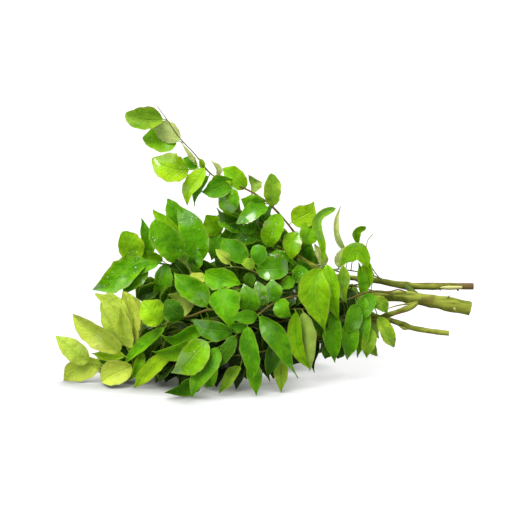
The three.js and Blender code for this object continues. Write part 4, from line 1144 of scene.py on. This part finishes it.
def tapered(radii, share):
    """The radius at a share of a line's length."""
    return float(np.interp(share, [0, 0.5, 1], radii))


def nearness(point, spot, reach):
    """1 at a spot, falling off within its reach."""
    return math.exp(-(((point - spot).length / reach) ** 2))


def stands_for(obj, name):
    """Hides the node of the part that a grown piece dresses, so that the piece is seen in its place."""
    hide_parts(name)


def compound_leaf(name, stalk, radii, face, leaflets, salt, skin):
    """One compound leaf: its skeleton, grown."""
    centres = Line(stalk).spaced(STALK_STEPS * len(stalk))
    count = len(centres)
    feet = [foot_on(stalk, leaf.base, leaf.tip) for leaf in leaflets]
    points = [placed(centre) for centre in centres]
    radius = []
    for i, centre in enumerate(centres):
        swell = min(sum(nearness(centre, foot, JOINT_REACH) for foot in feet), 1)
        radius.append(tapered(radii, i / (count - 1)) * STALK_SLIMMER * (1 + JOINT_SWELL * swell) * MM)
    floats = {key: [0.0] * count for key in (*LEAFLET_MEASURES, "gloss")}
    vectors = {key: [(0, 0, 0)] * count for key in LEAFLET_POINTS}
    tones = [linear(STALK_TONES.get(name, STALK_TONE))] * count
    for i, (leaf, foot) in enumerate(zip(leaflets, feet)):
        own = [vary(i, salt + k) for k in range(LEAF_STEP)]
        base, tip = placed(leaf.base), placed(leaf.tip)
        length = (tip - base).length
        up = face_of((tip - base).normalized(), face, leaf.turn + STRAY_TURN * own[7])
        base_power, tip_power = OUTLINES[leaf.outline]
        points.append(base)
        for key, value in zip(LEAFLET_POINTS, (base, tip, placed(foot), up)):
            vectors[key].append(value)
        for key, value in {
            "width": leaf.width * BROADER * MM,
            "arch": leaf.arch * MM,
            "bend": leaf.bend * MM,
            "fold": FOLD * (1 + STRAY_FOLD * own[11]) + max(0.0, own[8] - FOLD_MORE_ABOVE),
            "base_power": base_power,
            "tip_power": tip_power,
            "crest": math.log(0.5) / math.log(leaf.crest),
            "twist": TWIST * own[12],
            "curl": (CURL + STRAY_CURL * own[13]) * length,
            "sway": SWAY * own[17] * length,
            "hook": HOOK * (BLUNT_HOOK if leaf.outline in BLUNT else 1.0) * own[18] * length,
            "lop": LOP * own[19],
            "pinch": PINCH + STRAY_PINCH * own[9],
            "phase": STRAY_PHASE * own[14],
            "gloss": 1.0 if i in GLOSSY.get(name, []) else max(0.0, own[10]) * DULL_GLOSS,
        }.items():
            floats[key].append(value)
        # A leaflet's own random lightness, times the painted shade of the leaves inside the heap.
        light = (1 + STRAY_LIGHT * own[15]) * INSIDE_PAINTED_SHADE.get(name, 1.0)
        red, green, blue = linear(TONES[leaf.tone])
        tones.append((red * light * (1 + STRAY_WARMTH * own[16]), green * light, blue * light))
    floats["thickness"] = radius + [0.0] * len(leaflets)
    floats["is_leaflet"] = [0.0] * count + [1.0] * len(leaflets)
    obj = skeleton(name + "_foliage", points, count, floats, vectors, tones)
    skins = {"Upper Side": LEAF_UPPER, "Underside": LEAF_UNDER, "Stalk Skin": LEAF_STALK}
    grow(obj, LEAF_TREE, Leaflet=skin, **skins)
    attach(obj, "root")
    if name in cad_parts:
        stands_for(obj, name)


def woody_piece(name, centres, radii, tone, **values):
    """A stem or a twig along its centres, as thick as its radii in millimetres."""
    thickness = [radius * MM for radius in radii]
    points = [placed(centre) for centre in centres]
    obj = skeleton(name, points, len(points), {"thickness": thickness}, {}, [linear(tone)] * len(points))
    grow(obj, STEM_TREE, **values)
    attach(obj, "root")
    return obj


def woody_stem(name, path, radii):
    """One woody stem, swollen where its knots are."""
    path = [ROOTS[name], *path] if name in ROOTS else path
    length = sum((Vector(b) - Vector(a)).length for a, b in zip(path, path[1:]))
    centres = Line(path).spaced(round(length / STEM_STEP))
    radius = []
    for i, centre in enumerate(centres):
        swell = sum(rise * nearness(centre, Vector(knot), KNOT_REACH) for knot, rise in KNOTS.get(name, []))
        radius.append(tapered(radii, i / (len(centres) - 1)) + swell)
    skins = {"Bark": BARK, "Cut Wood": CUT_WOOD}
    stands_for(woody_piece(name + "_wood", centres, radius, STALK_TONE, **skins), name)


def twig(name, path, radii, tone):
    """A twig, a bud or a scar on a stem."""
    centres = Line(path).spaced(STALK_STEPS * len(path))
    radius = [tapered(radii, i / (len(centres) - 1)) for i in range(len(centres))]
    skins = {"Bark": LEAF_STALK, "Cut Wood": LEAF_STALK}
    woody_piece(name, centres, radius, tone, Unevenness=TWIG_UNEVEN, **skins)


for name, (path, radii) in STEMS.items():
    woody_stem(name, path, radii)

for name, (path, radii, tone) in TWIGS.items():
    twig(name, path, radii, tone)

for order, (name, (stalk, radii, face, *rows)) in enumerate(SPRIGS.items()):
    leaflets = [Leaflet(*row) for row in rows]
    compound_leaf(name, stalk, radii, face, leaflets, SPRIG_SALT + LEAF_STEP * order, FINE_LEAFLET)

for order, (name, filler) in enumerate(FILLERS.items()):
    leaflets = grown_leaflets(name, order)
    if name.startswith("inner"):
        leaflets += extra_leaflets(filler, order)
    salt = FILLER_SALT + LEAF_STEP * order
    compound_leaf(name, filler.stalk, FILLER_RADII, filler.face, leaflets, salt, PLAIN_LEAFLET)

for order, (name, infill) in enumerate(INFILLS.items()):
    salt = INFILL_PLACES + LEAF_STEP * order
    leaflets = [filler_leaflet(infill, i, salt, INFILL_STRAY) for i in range(infill.count)]
    salt = INFILL_SALT + LEAF_STEP * order
    compound_leaf(name, infill.stalk, FILLER_RADII, infill.face, leaflets, salt, PLAIN_LEAFLET)


# ---------------------------------------------------------------- stage, light and camera

AMBIENT = 0.6
KEY = 3.0
KEY_FROM = (-0.4, -0.5, 1.0)
KEY_SPREAD = 40  # degrees
FLOOR_REACH = 30.0
FLOOR_TONE = 0.24
FLOOR_GLOW = 0.88
# The colour to which the floor's glow turns close under the leaves: painted shade.
FLOOR_SHADE = (0.5, 0.62, 0.36)  # of the floor between the leaves
SHADE_REACH = 0.03
SHADE_POWER = 2.0
CAMERA_TARGET = (-8, 0, 102)  # in the layout
CAMERA_ELEVATION = 12  # degrees: a person bending down to the bunch
CAMERA_DISTANCE = 1.3
LENS = 107.53


def shown(tree):
    """1 for the rays in which the surroundings are seen or mirrored, and 0 for those that only light a
    surface."""
    path = tree.nodes.new("ShaderNodeLightPath")
    seen, glossy, through = (
        Field(tree, path.outputs[f"Is {kind} Ray"]) for kind in ("Camera", "Glossy", "Transmission")
    )
    return seen.math("MAXIMUM", glossy).math("MAXIMUM", through)


def floor():
    """A wide pale floor that catches the bunch's shadow. Its glow also dims and turns green close under the
    leaves: a painted shadow.
    """
    mesh = bpy.data.meshes.new("Floor")
    corners = [(x * FLOOR_REACH, y * FLOOR_REACH, 0) for x, y in ((-1, -1), (1, -1), (1, 1), (-1, 1))]
    mesh.from_pydata(corners, [], [(0, 1, 2, 3)])
    obj = linked("Floor", mesh)
    material, tree, shader = new_material("Pale floor", 0.9, 0.0)
    # The glow dims and turns green where the bunch is near: a painted shadow on top of the cast one.
    openness = node_in(tree, "ShaderNodeAmbientOcclusion", {"Distance": SHADE_REACH}, samples=8)
    openness = Field(tree, openness.outputs["AO"])
    feed(tree, shader, {
        "Base Color": (FLOOR_TONE, FLOOR_TONE, FLOOR_TONE, 1),
        "Emission Color": mixed(tree, openness, (*FLOOR_SHADE, 1), (1, 1, 1, 1)),
        "Emission Strength": shown(tree) * openness**SHADE_POWER * FLOOR_GLOW,
    })
    mesh.materials.append(material)


def aimed(name, data, back):
    """A lamp or a camera that looks away from a direction."""
    obj = linked(name, data)
    obj.rotation_mode = "QUATERNION"
    obj.rotation_quaternion = Vector(back).to_track_quat("Z", "Y")
    return obj


def studio_light():
    """Even white surroundings, shown white behind the bunch, and one broad lamp from the upper left."""
    world = bpy.data.worlds.new("Studio")
    bpy.context.scene.world = world
    world.use_nodes = True
    tree = world.node_tree
    strength = shown(tree) * (1 - AMBIENT) + AMBIENT
    feed(tree, tree.nodes["Background"], {"Color": (1, 1, 1, 1), "Strength": strength})
    lamp = bpy.data.lights.new("Key lamp", "SUN")
    lamp.energy = KEY
    lamp.angle = math.radians(KEY_SPREAD)
    aimed("Key lamp", lamp, KEY_FROM)


def camera():
    """Far enough back for the bunch to be seen as through a short telephoto lens."""
    elevation = math.radians(CAMERA_ELEVATION)
    back = Vector((0, -math.cos(elevation), math.sin(elevation)))
    data = bpy.data.cameras.new("Camera")
    data.lens = LENS
    data.sensor_width = 36
    data.clip_start = 0.05
    data.clip_end = 200
    obj = aimed("Camera", data, back)
    obj.location = placed(CAMERA_TARGET) + back * CAMERA_DISTANCE
    bpy.context.scene.camera = obj


floor()
studio_light()
camera()
bpy.context.scene.view_settings.view_transform = "Standard"
